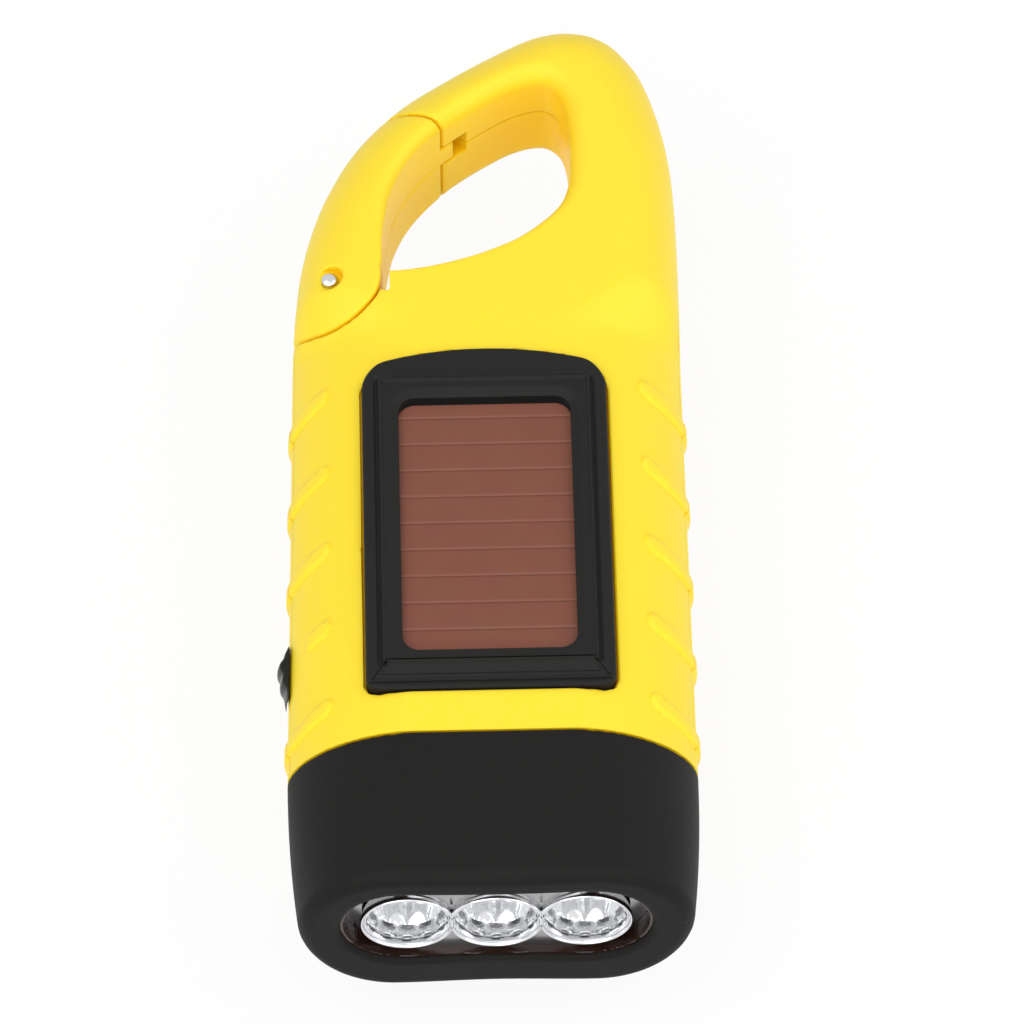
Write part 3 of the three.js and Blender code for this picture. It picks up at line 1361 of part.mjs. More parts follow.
// Domed clear lens, seated in the mouth of a cup.
function lens(x) {
  const back = LENS_SEAT - GAP;
  const edge = back - LENS_THICK;
  return turnedAlong(
    "y",
    [
      ...lens_dome_shares.map(([radius, height]) => [LENS_RADIUS * radius, edge - LENS_DOME * height]),
      [LENS_RADIUS, edge],
      [LENS_RADIUS, back],
      [0, back],
    ],
    [x, RIM_Y, LENS_Z],
    LENS_SIDES,
  );
}

function led(x) {
  const foot = LED_BOARD_Y - GAP;
  const straight = LED_LENGTH - LED_RADIUS;
  return turnedAlong(
    "-y",
    [
      [0, 0],
      [LED_FLANGE, 0],
      [LED_FLANGE, LED_FLANGE_THICK],
      [LED_RADIUS, LED_FLANGE_THICK],
      [LED_RADIUS, straight],
      ...led_end_shares.map(([radius, height]) => [LED_RADIUS * radius, straight + LED_RADIUS * height]),
    ],
    [x, foot, LENS_Z],
    10,
  );
}

function ledBoard() {
  const half = LED_BOARD_HEIGHT / 2;
  return block(
    [-LED_BOARD_HALF, LED_BOARD_Y, LENS_Z - half],
    [LED_BOARD_HALF, LED_BOARD_Y + LED_BOARD_THICK, LENS_Z + half],
  );
}

// Solar bezel on the front, with the solar cell under its window.
const BEZEL_FRONT_Z = 37.2;
const BEZEL_RIM_Z = 36.1;
const BEZEL_LIP = 1.5; // from the outer edge to the raised frame
const BEZEL_RISE = 0.6; // run of the raised frame's slope
const WINDOW_HALF_WIDTH = 10.8;
const WINDOW_TO_LOW = 5.5; // from the bezel's lower edge to the window
const WINDOW_LENGTH = 37;
const WINDOW_RADIUS = 2.2;
const WINDOW_EASE = 0.5;
const CELL_SHEET_Z = 35.4;
const CELL_SHEET_MARGIN = 1.6; // the solar cell reaches this far past the window

const windowOutline = (grow) =>
  rounded(
    [-WINDOW_HALF_WIDTH - grow, BEZEL_LOW_Y + WINDOW_TO_LOW - grow],
    [WINDOW_HALF_WIDTH + grow, BEZEL_LOW_Y + WINDOW_TO_LOW + WINDOW_LENGTH + grow],
    WINDOW_RADIUS + grow / 2,
    3,
  );

function solarBezel() {
  const low = BEZEL_SEAT_Z + GAP;
  const frame = [
    [0, low],
    [0, BEZEL_RIM_Z - BEZEL_RISE],
    [BEZEL_RISE / 2, BEZEL_RIM_Z],
    [BEZEL_LIP, BEZEL_RIM_Z + BEZEL_RISE / 3],
    [BEZEL_LIP + BEZEL_RISE, BEZEL_FRONT_Z],
  ];
  const solid = loft(frame.map(([inset, z]) => ringAt(bezelOutline(inset), z)));
  const window = loft([
    ringAt(windowOutline(0), low - OVERRUN),
    ringAt(windowOutline(0), BEZEL_FRONT_Z - WINDOW_EASE),
    ringAt(windowOutline(WINDOW_EASE), BEZEL_FRONT_Z),
    ringAt(windowOutline(WINDOW_EASE), BEZEL_FRONT_Z + OVERRUN),
  ]);
  const pocket = prism(windowOutline(CELL_SHEET_MARGIN + GAP), low - OVERRUN, CELL_SHEET_Z + GAP);
  return without(solid, [window, pocket]);
}

const solarCell = () =>
  prism(windowOutline(CELL_SHEET_MARGIN), BEZEL_SEAT_Z + GAP, CELL_SHEET_Z);

// Electronics under the front shell.
const BOARD_HALF_WIDTH = 12;
const BOARD_TO_SEAM = 5.5;
const BOARD_LENGTH = 30;
const BOARD_THICK = 1.2;
const BOARD_TOP_Z = BEZEL_SEAT_Z - BEZEL_SEAT_THICK - GAP;
const CHIP = [5, 4, 1.2];
const CAPACITOR_RADIUS = 2.5;
const CAPACITOR_HEIGHT = 5;

function mainBoard() {
  const low = BOARD_TOP_Z - BOARD_THICK;
  const y0 = SEAM_Y + BOARD_TO_SEAM;
  const y1 = y0 + BOARD_LENGTH;
  const sheet = block([-BOARD_HALF_WIDTH, y0, low], [BOARD_HALF_WIDTH, y1, BOARD_TOP_Z]);
  const chip = block(
    [-BOARD_HALF_WIDTH / 2, y1 - CHIP[1] * 2, low - CHIP[2]],
    [CHIP[0] - BOARD_HALF_WIDTH / 2, y1 - CHIP[1], low + BOARD_THICK / 2],
  );
  const capacitor = post(
    [BOARD_HALF_WIDTH / 2, y1 - CAPACITOR_RADIUS * 2],
    low - CAPACITOR_HEIGHT,
    low + BOARD_THICK / 2,
    CAPACITOR_RADIUS,
    12,
  );
  return union([sheet, chip, capacitor]);
}

function batteryCell(k) {
  const start = k * (CELL_THICK + GAP) - CELL_LENGTH + GAP / 2;
  const edge = GAP;
  return turnedAlong(
    "x",
    [
      [0, 0],
      [CELL_RADIUS - edge, 0],
      [CELL_RADIUS, edge],
      [CELL_RADIUS, CELL_THICK - edge],
      [CELL_RADIUS - edge, CELL_THICK],
      [0, CELL_THICK],
    ],
    [start, CELL_Y, CELL_Z],
    12,
  );
}

// Switch: a ridged cap outside, whose stem goes through the parting line to the slider of the switch body.
const SWITCH_BODY_WIDTH = 5;
const SWITCH_BODY_HEIGHT = 3.9;
const SWITCH_BODY_SPARE = 1.2; // how far the body goes past the slider's travel at each end
const SLIDER_REACH = 1.6;

function switchCap() {
  const half = SWITCH_LENGTH / 2;
  const zone = (from, to, halfHeight) =>
    block(
      [-FAR, SWITCH_Y + from, PARTING_Z - halfHeight],
      [-HALF_WIDTH + WALL, SWITCH_Y + to, PARTING_Z + halfHeight],
    );
  const skin = (proud) => envelope(proud, LAYERS).subtract(envelope(RUN, LAYERS));
  const pad = skin(SWITCH_PROUD).intersect(zone(-half, half, SWITCH_HEIGHT / 2));
  const ridges = [-RIDGE_PITCH, 0, RIDGE_PITCH].map((y) =>
    skin(SWITCH_PROUD + RIDGE_PROUD).intersect(
      zone(y - RIDGE_WIDTH / 2, y + RIDGE_WIDTH / 2, SWITCH_HEIGHT / 2 - RIDGE_PROUD),
    ),
  );
  const stem = block(
    [-HALF_WIDTH - SWITCH_PROUD / 2, SWITCH_Y - STEM_LENGTH / 2, PARTING_Z - STEM_HEIGHT / 2],
    [-HALF_WIDTH + STEM_REACH, SWITCH_Y + STEM_LENGTH / 2, PARTING_Z + STEM_HEIGHT / 2],
  );
  return union([pad, ...ridges, stem]);
}

// Slider of the switch body, moved by the stem.
const SLIDER_X = -HALF_WIDTH + STEM_REACH + GAP;
const SWITCH_BODY_X = SLIDER_X + SLIDER_REACH / 4;

function switchSlider() {
  return block(
    [SLIDER_X, SWITCH_Y - STEM_LENGTH / 2, PARTING_Z - STEM_HEIGHT / 2],
    [SLIDER_X + SLIDER_REACH, SWITCH_Y + STEM_LENGTH / 2, PARTING_Z + STEM_HEIGHT / 2],
  );
}

function switchBody() {
  const low = PLATE_Z + PLATE_THICK + GAP;
  const reach = STEM_LENGTH / 2 + SWITCH_BODY_SPARE;
  const can = block(
    [SWITCH_BODY_X, SWITCH_Y - reach - SWITCH_TRAVEL, low],
    [SWITCH_BODY_X + SWITCH_BODY_WIDTH, SWITCH_Y + reach, low + SWITCH_BODY_HEIGHT],
  );
  const halfLength = STEM_LENGTH / 2 + RUN;
  const halfHeight = STEM_HEIGHT / 2 + RUN;
  const groove = block(
    [SWITCH_BODY_X - OVERRUN, SWITCH_Y - halfLength - SWITCH_TRAVEL, PARTING_Z - halfHeight],
    [SLIDER_X + SLIDER_REACH + RUN, SWITCH_Y + halfLength, PARTING_Z + halfHeight],
  );
  return can.subtract(groove);
}

const material = (color, roughness, metalness = 0, extra = {}) =>
  new THREE.MeshStandardMaterial({ color, roughness, metalness, ...extra });

const YELLOW = material(0xfde944, 0.32);
const BLACK = material(0x262524, 0.55);
const SATIN_BLACK = material(0x1d1d1d, 0.38);
const SOLAR_BROWN = material(0x885446, 0.25);
const CHROME = material(0xd9d9dc, 0.08, 1);
const CLEAR = material(0xf4f7fa, 0.04, 0, { transparent: true, opacity: 0.35 });
const LED_CLEAR = material(0xeef2f4, 0.12, 0, { transparent: true, opacity: 0.7 });
const STEEL = material(0xb4b6b8, 0.3, 1);
const BOARD_GREEN = material(0x2c6b3c, 0.5);
const GEAR_WHITE = material(0xe9e7df, 0.45);
const MAGNET_GREY = material(0x4a4a4d, 0.5, 0.6);
const YOKE_STEEL = material(0x8b8d90, 0.45, 0.9);
const COPPER = material(0xb46a3c, 0.35, 0.8);
const CELL_GREEN = material(0x3f8f6a, 0.4, 0.2);

const flashlight = new THREE.Group();
const add = (name, solid, look) => flashlight.add(meshOf(name, solid, look));

// Housing: the two shells, the head and what they hold.
add("front_shell", frontShell(), YELLOW);
add("rear_shell", backShell(), YELLOW);
SCREW_PLACES.forEach((place, k) => add(`housing_screw_${k + 1}`, housingScrew(place), STEEL));
add("head_bezel", headBezel(), BLACK);
add("reflector", reflector(), CHROME);
["left", "middle", "right"].forEach((side, k) => {
  add(`lens_${side}`, lens(LENS_PLACES[k]), CLEAR);
  add(`led_${side}`, led(LENS_PLACES[k]), LED_CLEAR);
});
add("led_board", ledBoard(), BOARD_GREEN);
add("solar_bezel", solarBezel(), SATIN_BLACK);
add("solar_cell", solarCell(), SOLAR_BROWN);
add("main_board", mainBoard(), BOARD_GREEN);
for (let k = 0; k < CELLS; k += 1) add(`battery_cell_${k + 1}`, batteryCell(k), CELL_GREEN);
add("switch_body", switchBody(), BLACK);

// Gate of the carabiner.
add("gate_pin", gatePin(), STEEL);
add("gate_spring", gateSpring(), STEEL);
add("carabiner_gate", carabinerGate(), YELLOW);

// Switch.
add("switch_cap", switchCap(), SATIN_BLACK);
add("switch_slider", switchSlider(), GEAR_WHITE);

// Crank with its folding knob.
add("crank_arm", crankArm(), BLACK);
add("crank_axle", crankAxle(), GEAR_WHITE);
add("crank_screw", crankScrew(), STEEL);
add("crank_gear", crankGear(), GEAR_WHITE);
add("knob_hinge_pin", knobHingePin(), STEEL);
add("knob_stem", knobStem(), BLACK);
add("knob_grip", knobGrip(), BLACK);

// Gear train and generator.
const PLATE_TOP = PLATE_Z + PLATE_THICK;
add("gear_plate", gearPlate(), STEEL);
add("second_axle", axlePin(SECOND, axleLow(BEARINGS[0][1]), PLATE_TOP), STEEL);
add("second_gear", secondGear(), GEAR_WHITE);
add("third_axle", axlePin(THIRD, axleLow(BEARINGS[1][1]), PLATE_TOP), STEEL);
add("third_gear", thirdGear(), GEAR_WHITE);
add("rotor_shaft", axlePin(ROTOR, axleLow(BEARINGS[2][1]), SHAFT_TOP), STEEL);
add("rotor_pinion", rotorPinion(), GEAR_WHITE);
add("rotor_magnet", rotorMagnet(), MAGNET_GREY);
add("stator_yoke", statorYoke(), YOKE_STEEL);
add("stator_coil", statorCoil(), COPPER);

export default flashlight;
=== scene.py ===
import math

import bmesh
import bpy
import numpy as np
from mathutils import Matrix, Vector


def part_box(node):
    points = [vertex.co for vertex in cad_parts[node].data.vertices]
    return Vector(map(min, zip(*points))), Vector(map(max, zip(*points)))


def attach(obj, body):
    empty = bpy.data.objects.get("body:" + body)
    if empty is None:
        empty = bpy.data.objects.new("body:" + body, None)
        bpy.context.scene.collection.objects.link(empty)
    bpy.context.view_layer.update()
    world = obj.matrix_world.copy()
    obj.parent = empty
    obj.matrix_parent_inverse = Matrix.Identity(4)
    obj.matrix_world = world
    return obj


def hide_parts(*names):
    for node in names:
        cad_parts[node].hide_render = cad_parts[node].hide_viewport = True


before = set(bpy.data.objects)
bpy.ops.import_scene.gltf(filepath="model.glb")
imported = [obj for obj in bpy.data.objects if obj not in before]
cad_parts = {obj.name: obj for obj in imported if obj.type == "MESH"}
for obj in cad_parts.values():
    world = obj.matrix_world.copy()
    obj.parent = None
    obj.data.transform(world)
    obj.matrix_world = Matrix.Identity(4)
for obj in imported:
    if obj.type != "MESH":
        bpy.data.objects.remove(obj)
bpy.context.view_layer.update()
MM = 0.001


def corners(node):
    low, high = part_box(node)
    return np.array(low) / MM, np.array(high) / MM


shell_low, shell_high = corners("front_shell")
head_low, _ = corners("head_bezel")

# Body, in millimetres.
GAP = 0.3
HEAD_Y = head_low[1]
SEAM_Y = shell_low[1]
TIP_Y = shell_high[1]
BODY_LENGTH = TIP_Y - SEAM_Y
HEAD_LENGTH = SEAM_Y - HEAD_Y
HALF_WIDTH = 25.8
FRONT_Z = 36.0
BACK_Z = 10.8
WIDE_Z = 23.5
RING_WIDE_Z = 26.7
RING_BACK_Z = 18.0
FRONT_EDGE = 16.0
BACK_EDGE = 13.0
RING_EDGE = 8.4
FRONT_POWER = 1.8
PARTING_Z = 25.5
SHOULDER = 9.0
SHOULDER_REACH = 60.5

# Outer outline in plan: x as a share of the half width, y as a share of the length from the seam.
OUTLINE_SHARES = [
    (-1, 0), (-0.963, 0.47), (-0.958, 0.539), (-0.95, 0.58), (-0.935, 0.62), (-0.913, 0.665),
    (-0.866, 0.716), (-0.787, 0.77), (-0.64, 0.834), (-0.42, 0.891), (-0.167, 0.934),
    (0.06, 0.967), (0.256, 0.991), (0.4, 1), (0.52, 1), (0.625, 0.994), (0.722, 0.98),
    (0.8, 0.959), (0.868, 0.931), (0.942, 0.872), (0.985, 0.807), (1, 0.72), (1, 0.62),
    (1, 0.58), (1, 0.539), (1, 0),
]

# Carabiner: hole, gate, tongue, lug and pin. Angles are degrees about the gate's pin.
HOLE_WIDTH = 24.85
HOLE_HEIGHT = 30.55
HOLE_X = -0.275
HOLE_Y = TIP_Y - 26.425
HOLE_FILLET = 2.6
HOLE_CRISP = 0.7
PIVOT = (-19.55, TIP_Y - 42.3)
GATE_BASE = 6.8
GATE_FOOT_ARC = (-140, 10)
GATE_REACH = 28.2
GATE_NOSE_ARC = (42, 112)
GATE_SLIT = 0.8
SEAM_ROUND = 0.5
SEAM_GAP = 0.2
HOLE_SHARES = [
    (-0.952, -1), (-0.63, -0.984), (-0.276, -0.921), (0.062, -0.83), (0.425, -0.686),
    (0.698, -0.496), (0.883, -0.293), (0.976, -0.038), (1, 0.231), (1, 0.493),
    (0.972, 0.728), (0.899, 0.899), (0.738, 1), (0.449, 0.957), (0.111, 0.8),
    (-0.243, 0.588), (-0.533, 0.375), (-0.751, 0.126), (-0.895, -0.149), (-0.96, -0.398),
    (-0.996, -0.646), (-1, -0.836), (-0.992, -0.935),
]
FAR = HALF_WIDTH + 6.0
TONGUE_ROOT = 2.0
TONGUE_LENGTH = 1.8
TONGUE_ARC = (30, 66)
TONGUE_BACK_Z = 26.6
TONGUE_FRONT_Z = 29.8
NOTCH_DEEPER = 7
NOTCH_TURN = 6
LUG_RADIUS = 3.1
LUG_ROOT = 2.0
LUG_ARC = (-88, -2)
LUG_BACK_Z = 23.4
LUG_FRONT_Z = 29.8
LUG_COVER = 1.6
SLOT_ARC = (-104, 34)
SLOT_ROOM = 0.35
SLOT_COVER = 0.6
PIN_RECESS = 1.75
PIN_RECESS_DEPTH = 1.0
PIN_RADIUS = 1.0
PIN_ROOM = 0.05


def mix(a, b, t):
    return a + (b - a) * t


def smooth(t):
    t = np.clip(t, 0.0, 1.0)
    return t * t * (3 - 2 * t)


def polar(centre, radius, degrees):
    turn = math.radians(degrees)
    return (centre[0] + radius * math.cos(turn), centre[1] + radius * math.sin(turn))


def arc(centre, radius, start, end, steps):
    return [polar(centre, radius, mix(start, end, i / steps)) for i in range(steps + 1)]


def curve_through(points, parts, closed):
    """Catmull-Rom curve through plan points."""
    pts = np.array(points, float)
    count = len(pts)
    spans = count if closed else count - 1
    pick = (lambda i: pts[i % count]) if closed else (lambda i: pts[min(max(i, 0), count - 1)])
    made = []
    for i in range(spans):
        p0, p1, p2, p3 = pick(i - 1), pick(i), pick(i + 1), pick(i + 2)
        reach = np.linalg.norm(p2 - p1)
        before, after = np.linalg.norm(p1 - p0), np.linalg.norm(p3 - p2)
        m1 = (p2 - p0) / max(reach + before, 1e-9) * reach
        m2 = (p3 - p1) / max(reach + after, 1e-9) * reach
        for k in range(parts):
            t = k / parts
            t2, t3 = t * t, t * t * t
            made.append(
                (2 * t3 - 3 * t2 + 1) * p1 + (t3 - 2 * t2 + t) * m1
                + (3 * t2 - 2 * t3) * p2 + (t3 - t2) * m2
            )
    if not closed:
        made.append(pts[-1])
    return [tuple(p) for p in made]


class Plan:
    """Signed distance to a closed outline, negative inside, read off a fine grid."""

    def __init__(self, points, low, high, step=0.2):
        self.low, self.step = np.array(low, float), step
        count = np.ceil((np.array(high) - self.low) / step).astype(int) + 1
        x = self.low[0] + step * np.arange(count[0])
        y = self.low[1] + step * np.arange(count[1])
        a = np.array(points, float)
        b = np.roll(a, -1, axis=0)
        best = np.full(tuple(count), 1e9)
        inside = np.zeros(tuple(count), bool)
        for (ax, ay), (bx, by) in zip(a, b):
            dx, dy = bx - ax, by - ay
            size = dx * dx + dy * dy
            if size < 1e-12:
                continue
            px, py = (x - ax)[:, None], (y - ay)[None, :]
            t = np.clip((px * dx + py * dy) / size, 0, 1)
            best = np.minimum(best, (px - t * dx) ** 2 + (py - t * dy) ** 2)
            if ay != by:
                cross = ax + (y - ay) / (by - ay) * dx
                rows = (y >= min(ay, by)) & (y < max(ay, by))
                inside ^= rows[None, :] & (x[:, None] < cross[None, :])
        self.grid = np.where(inside, -1.0, 1.0) * np.sqrt(best)

    def __call__(self, x, y):
        u = np.clip((x - self.low[0]) / self.step, 0, self.grid.shape[0] - 1.001)
        v = np.clip((y - self.low[1]) / self.step, 0, self.grid.shape[1] - 1.001)
        i, j = np.floor(u).astype(int), np.floor(v).astype(int)
        s, t = u - i, v - j
        g = self.grid
        return (
            g[i, j] * (1 - s) * (1 - t) + g[i + 1, j] * s * (1 - t)
            + g[i, j + 1] * (1 - s) * t + g[i + 1, j + 1] * s * t
        )


def meet(a, b, r):
    """What lies in both fields, with the edge between them rounded."""
    return np.minimum(-r, np.maximum(a, b)) + np.hypot(np.maximum(a + r, 0), np.maximum(b + r, 0))


def join(a, b, r):
    return -meet(-a, -b, r)


def less(a, b, r):
    return meet(a, -b, r)


# Mesh of a field's zero level: one vertex a cell, put where the planes that cross the cell meet.
GRID_SHIFT = np.array((1.37, 1.41, 1.43))
CUT_TRIES = 3
SLOPE_REACH = 0.02
MIDDLE_PULL = 0.05
CELL_MARGIN = 0.02


def grid_cuts(field, axes, values, axis, step):
    """Where the surface cuts the grid lines along an axis, the cells round each cut and the side it faces."""
    inside = values < 0
    first, second = [slice(None)] * 3, [slice(None)] * 3
    first[axis], second[axis] = slice(0, -1), slice(1, None)
    start = np.stack(np.nonzero(inside[tuple(first)] != inside[tuple(second)]), 1)
    end = start.copy()
    end[:, axis] += 1
    f0, f1 = values[tuple(start.T)], values[tuple(end.T)]
    p0 = np.stack([axes[d][start[:, d]] for d in range(3)], 1)
    p1 = p0.copy()
    p1[:, axis] += step
    s0, s1 = np.zeros(len(f0)), np.ones(len(f0))
    for _ in range(CUT_TRIES):
        t = np.clip(s0 + (s1 - s0) * f0 / (f0 - f1), 0, 1)
        q = p0 + (p1 - p0) * t[:, None]
        fq = field(*q.T)
        same = (fq < 0) == (f0 < 0)
        s0, f0 = np.where(same, t, s0), np.where(same, fq, f0)
        s1, f1 = np.where(same, s1, t), np.where(same, f1, fq)
    b, c = (axis + 1) % 3, (axis + 2) % 3
    around = []
    for ob, oc in ((-1, -1), (0, -1), (0, 0), (-1, 0)):
        cell = start.copy()
        cell[:, b] += ob
        cell[:, c] += oc
        around.append(np.ravel_multi_index(tuple(cell.T), values.shape, mode="clip"))
    return q, np.stack(around, 1), ~inside[tuple(start.T)]


def field_slopes(field, at, reach):
    slope = np.zeros_like(at)
    for a in range(3):
        ahead, behind = at.copy(), at.copy()
        ahead[:, a] += reach
        behind[:, a] -= reach
        slope[:, a] = field(*ahead.T) - field(*behind.T)
    return slope / np.maximum(np.linalg.norm(slope, axis=1), 1e-12)[:, None]


def dual_surface(field, low, high, step):
    """Points and four-sided faces of the surface inside a box."""
    low = np.array(low, float) - step * GRID_SHIFT
    counts = np.ceil((np.array(high, float) + 1.5 * step - low) / step).astype(int) + 1
    axes = [low[a] + step * np.arange(counts[a]) for a in range(3)]
    shape = tuple(len(a) for a in axes)
    x, y, z = axes
    values = np.broadcast_to(field(x[:, None, None], y[None, :, None], z[None, None, :]), shape)
    cuts = [grid_cuts(field, axes, values, axis, step) for axis in range(3)]
    at, cells, flips = (np.concatenate(part) for part in zip(*cuts))
    normal = field_slopes(field, at, step * SLOPE_REACH)
    ids, index = np.unique(cells.ravel(), return_inverse=True)
    index = index.reshape(cells.shape)
    to, count = index.ravel(), len(ids)

    def gather(v):
        return np.bincount(to, weights=np.repeat(v, 4), minlength=count)

    tally = np.bincount(to, minlength=count).astype(float)
    middle = np.stack([gather(at[:, d]) for d in range(3)], 1) / tally[:, None]
    matrix = np.zeros((count, 3, 3))
    right = np.zeros((count, 3))
    along = (normal * at).sum(1)
    for r in range(3):
        right[:, r] = gather(normal[:, r] * along)
        for c in range(3):
            matrix[:, r, c] = gather(normal[:, r] * normal[:, c])
    matrix += MIDDLE_PULL * np.eye(3)
    right += MIDDLE_PULL * middle
    points = np.linalg.solve(matrix, right[:, :, None])[:, :, 0]
    corner = np.stack(np.unravel_index(ids, shape), 1) * step + low
    points = np.clip(points, corner + CELL_MARGIN * step, corner + (1 - CELL_MARGIN) * step)
    return points, np.where(flips[:, None], index[:, ::-1], index)


def smooth_shading(mesh, sharp):
    mesh.polygons.foreach_set("use_smooth", np.ones(len(mesh.polygons), bool))
    mesh.set_sharp_from_angle(angle=math.radians(sharp))


def mesh_object(name, points, faces, sharp=32.0):
    mesh = bpy.data.meshes.new(name)
    mesh.from_pydata((np.array(points) * MM).tolist(), [], [list(map(int, f)) for f in faces])
    mesh.validate()
    smooth_shading(mesh, sharp)
    made = bpy.data.objects.new(name, mesh)
    bpy.context.scene.collection.objects.link(made)
    return made


def piece(made, body, slot, material, *nodes):
    """Gives a piece its finish, its body and the nodes that it stands for."""
    made.data.materials.clear()
    made.data.materials.append(material)
    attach(made, body)
    if nodes:
        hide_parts(*nodes)
    return made


def carved(name, field, low, high, step, body, slot, material, *nodes, sharp=32.0):
    points, faces = dual_surface(field, low, high, step)
    return piece(mesh_object(name, points, faces, sharp), body, slot, material, *nodes)


# Plans that several pieces share, and the boxes of their grids.
PLAN_LOW, PLAN_HIGH = (-FAR - 2, SEAM_Y - 6), (FAR + 2, TIP_Y + 6)
RING_LOW, RING_HIGH = (-FAR - 2, SEAM_Y + 50), (FAR + 2, TIP_Y + 6)
RING_PLAN_STEP = 0.15
OUTLINE_DROP = 60.0
OUTLINE_PARTS = 12
HOLE_PARTS = 10


def body_outline():
    pts = [(x * HALF_WIDTH, SEAM_Y + y * BODY_LENGTH) for x, y in OUTLINE_SHARES]
    side = curve_through(pts, OUTLINE_PARTS, closed=False)
    drop = SEAM_Y - OUTLINE_DROP
    return [(-HALF_WIDTH, drop)] + side + [(HALF_WIDTH, drop)]


def hole_outline():
    pts = [(HOLE_X + x * HOLE_WIDTH / 2, HOLE_Y + y * HOLE_HEIGHT / 2) for x, y in HOLE_SHARES]
    return curve_through(pts, HOLE_PARTS, closed=True)


def gate_outline():
    foot = arc(PIVOT, GATE_BASE, *GATE_FOOT_ARC, 90)
    far = arc(PIVOT, GATE_REACH, *GATE_NOSE_ARC, 60)
    return foot + far + [(-FAR, PIVOT[1] + GATE_BASE), (-FAR, PIVOT[1] - GATE_BASE / 2)]


outline_plan = Plan(body_outline(), PLAN_LOW, PLAN_HIGH)
hole_plan = Plan(hole_outline(), RING_LOW, RING_HIGH, RING_PLAN_STEP)
gate_plan = Plan(gate_outline(), RING_LOW, RING_HIGH, RING_PLAN_STEP)


ELLIPSE = 2.0


def rounded_slab(inset, z, wide, front_depth, back_depth, front_edge, back_edge, front_power):
    """Field of a body whose sides round off towards its front and back faces."""
    up = z >= wide
    depth = np.where(up, front_depth, back_depth)
    edge = np.where(up, front_edge, back_edge)
    power = np.where(up, front_power, ELLIPSE)
    u = np.maximum(1 - inset / edge, 1e-6)
    v = np.maximum(np.abs(z - wide) / depth, 1e-6)
    g = np.maximum((u**power + v**power) ** (1 / power), 0.05)
    slope = np.hypot((u / g) ** (power - 1) / edge, (v / g) ** (power - 1) / depth)
    return (g - 1) / slope


def ring_share(y):
    """Zero along the body and one along the carabiner."""
    return smooth((y - SEAM_Y - SHOULDER_REACH) / SHOULDER)


def front_section(ring):
    """Widest height of a cross section, with the reach and the power of its front edge."""
    return mix(WIDE_Z, RING_WIDE_Z, ring), mix(FRONT_EDGE, RING_EDGE, ring), mix(FRONT_POWER, ELLIPSE, ring)


def envelope(x, y, z):
    """Body and carabiner without ribs and hole."""
    ring = ring_share(y)
    wide, edge, power = front_section(ring)
    back = mix(BACK_Z, RING_BACK_Z, ring)
    back_edge = mix(BACK_EDGE, RING_EDGE, ring)
    return rounded_slab(-outline_plan(x, y), z, wide, FRONT_Z - wide, wide - back, edge, back_edge, power)


# Grip ribs on both sides. They keep clear of the switch on the left one.
RIBS = 5
RIB_PITCH = 11.85
RIB_TO_SEAM = 4.1
RIB_WIDTH = 2.9
RIB_HEIGHT = 0.45
RIB_START_X = 19.7
RIB_SOFT = 0.7
RIB_SLANT = 2.4
RIB_SLANT_REACH = 1.2
RIB_SLANT_FADE = 4.0
RIB_CLEAR_FADE = 1.2

SWITCH_Y = SEAM_Y + 14.6
SWITCH_LENGTH = 8.0
SWITCH_HEIGHT = 4.2
SWITCH_TRAVEL = 3.0


def rib_rise(x, y, z):
    inwards = np.clip((HALF_WIDTH - np.abs(x)) / (HALF_WIDTH - RIB_START_X), 0, RIB_SLANT_REACH)
    slant = RIB_SLANT * inwards * smooth((z - WIDE_Z) / RIB_SLANT_FADE)
    past = np.maximum(RIB_START_X + RIB_WIDTH / 2 - np.abs(x), 0)
    best = 1e9
    for k in range(RIBS):
        middle = SEAM_Y + RIB_TO_SEAM + k * RIB_PITCH + slant
        best = np.minimum(best, np.hypot(past, y - middle) - RIB_WIDTH / 2)
    rise = RIB_HEIGHT * smooth(-best / RIB_SOFT)
    near = (SWITCH_LENGTH + RIB_WIDTH) / 2
    beside = np.maximum(np.abs(y - SWITCH_Y + SWITCH_TRAVEL / 2) - near - SWITCH_TRAVEL / 2, 0)
    above = np.maximum(np.abs(z - PARTING_Z) - (SWITCH_HEIGHT + RIB_WIDTH) / 2, 0)
    clear = smooth(np.hypot(beside, above) / RIB_CLEAR_FADE)
    return rise * np.where(x < 0, clear, 1.0)


# Where the hole's edge turns from crisp to soft, in shares of its half size across and along.
SOFT_FROM = (-0.6, -0.8)
SOFT_OVER = (0.4, 0.8)
LEFT_SOFTNESS = 0.5


def hole_round(x, y):
    """Rounding of the hole's edge: crisp at the lower end, soft above and less so on the gate's side."""
    sx = (x - HOLE_X) * 2 / HOLE_WIDTH
    sy = (y - HOLE_Y) * 2 / HOLE_HEIGHT
    right = smooth((sx - SOFT_FROM[0]) / SOFT_OVER[0])
    above = smooth((sy - SOFT_FROM[1]) / SOFT_OVER[1])
    return mix(HOLE_CRISP, HOLE_FILLET, above * mix(LEFT_SOFTNESS, 1.0, right))


def blank(x, y, z):
    """Body and carabiner in one, with the hole."""
    outer = envelope(x, y, z) - rib_rise(x, y, z)
    return meet(outer, -hole_plan(x, y), hole_round(x, y))


def cylinder(centre, radius):
    return lambda x, y: np.hypot(x - centre[0], y - centre[1]) - radius


def slab(z, low, high):
    return np.abs(z - (low + high) / 2) - (high - low) / 2


def wedge(x, y, inner, outer, start, end):
    """Slice of a ring about the gate's pin."""
    radius = np.hypot(x - PIVOT[0], y - PIVOT[1])
    turn = np.degrees(np.arctan2(y - PIVOT[1], x - PIVOT[0]))
    middle, half = (start + end) / 2, (end - start) / 2
    side = np.radians(np.abs(turn - middle) - half) * np.maximum(radius, 1e-3)
    return np.maximum(np.maximum(inner - radius, radius - outer), side)


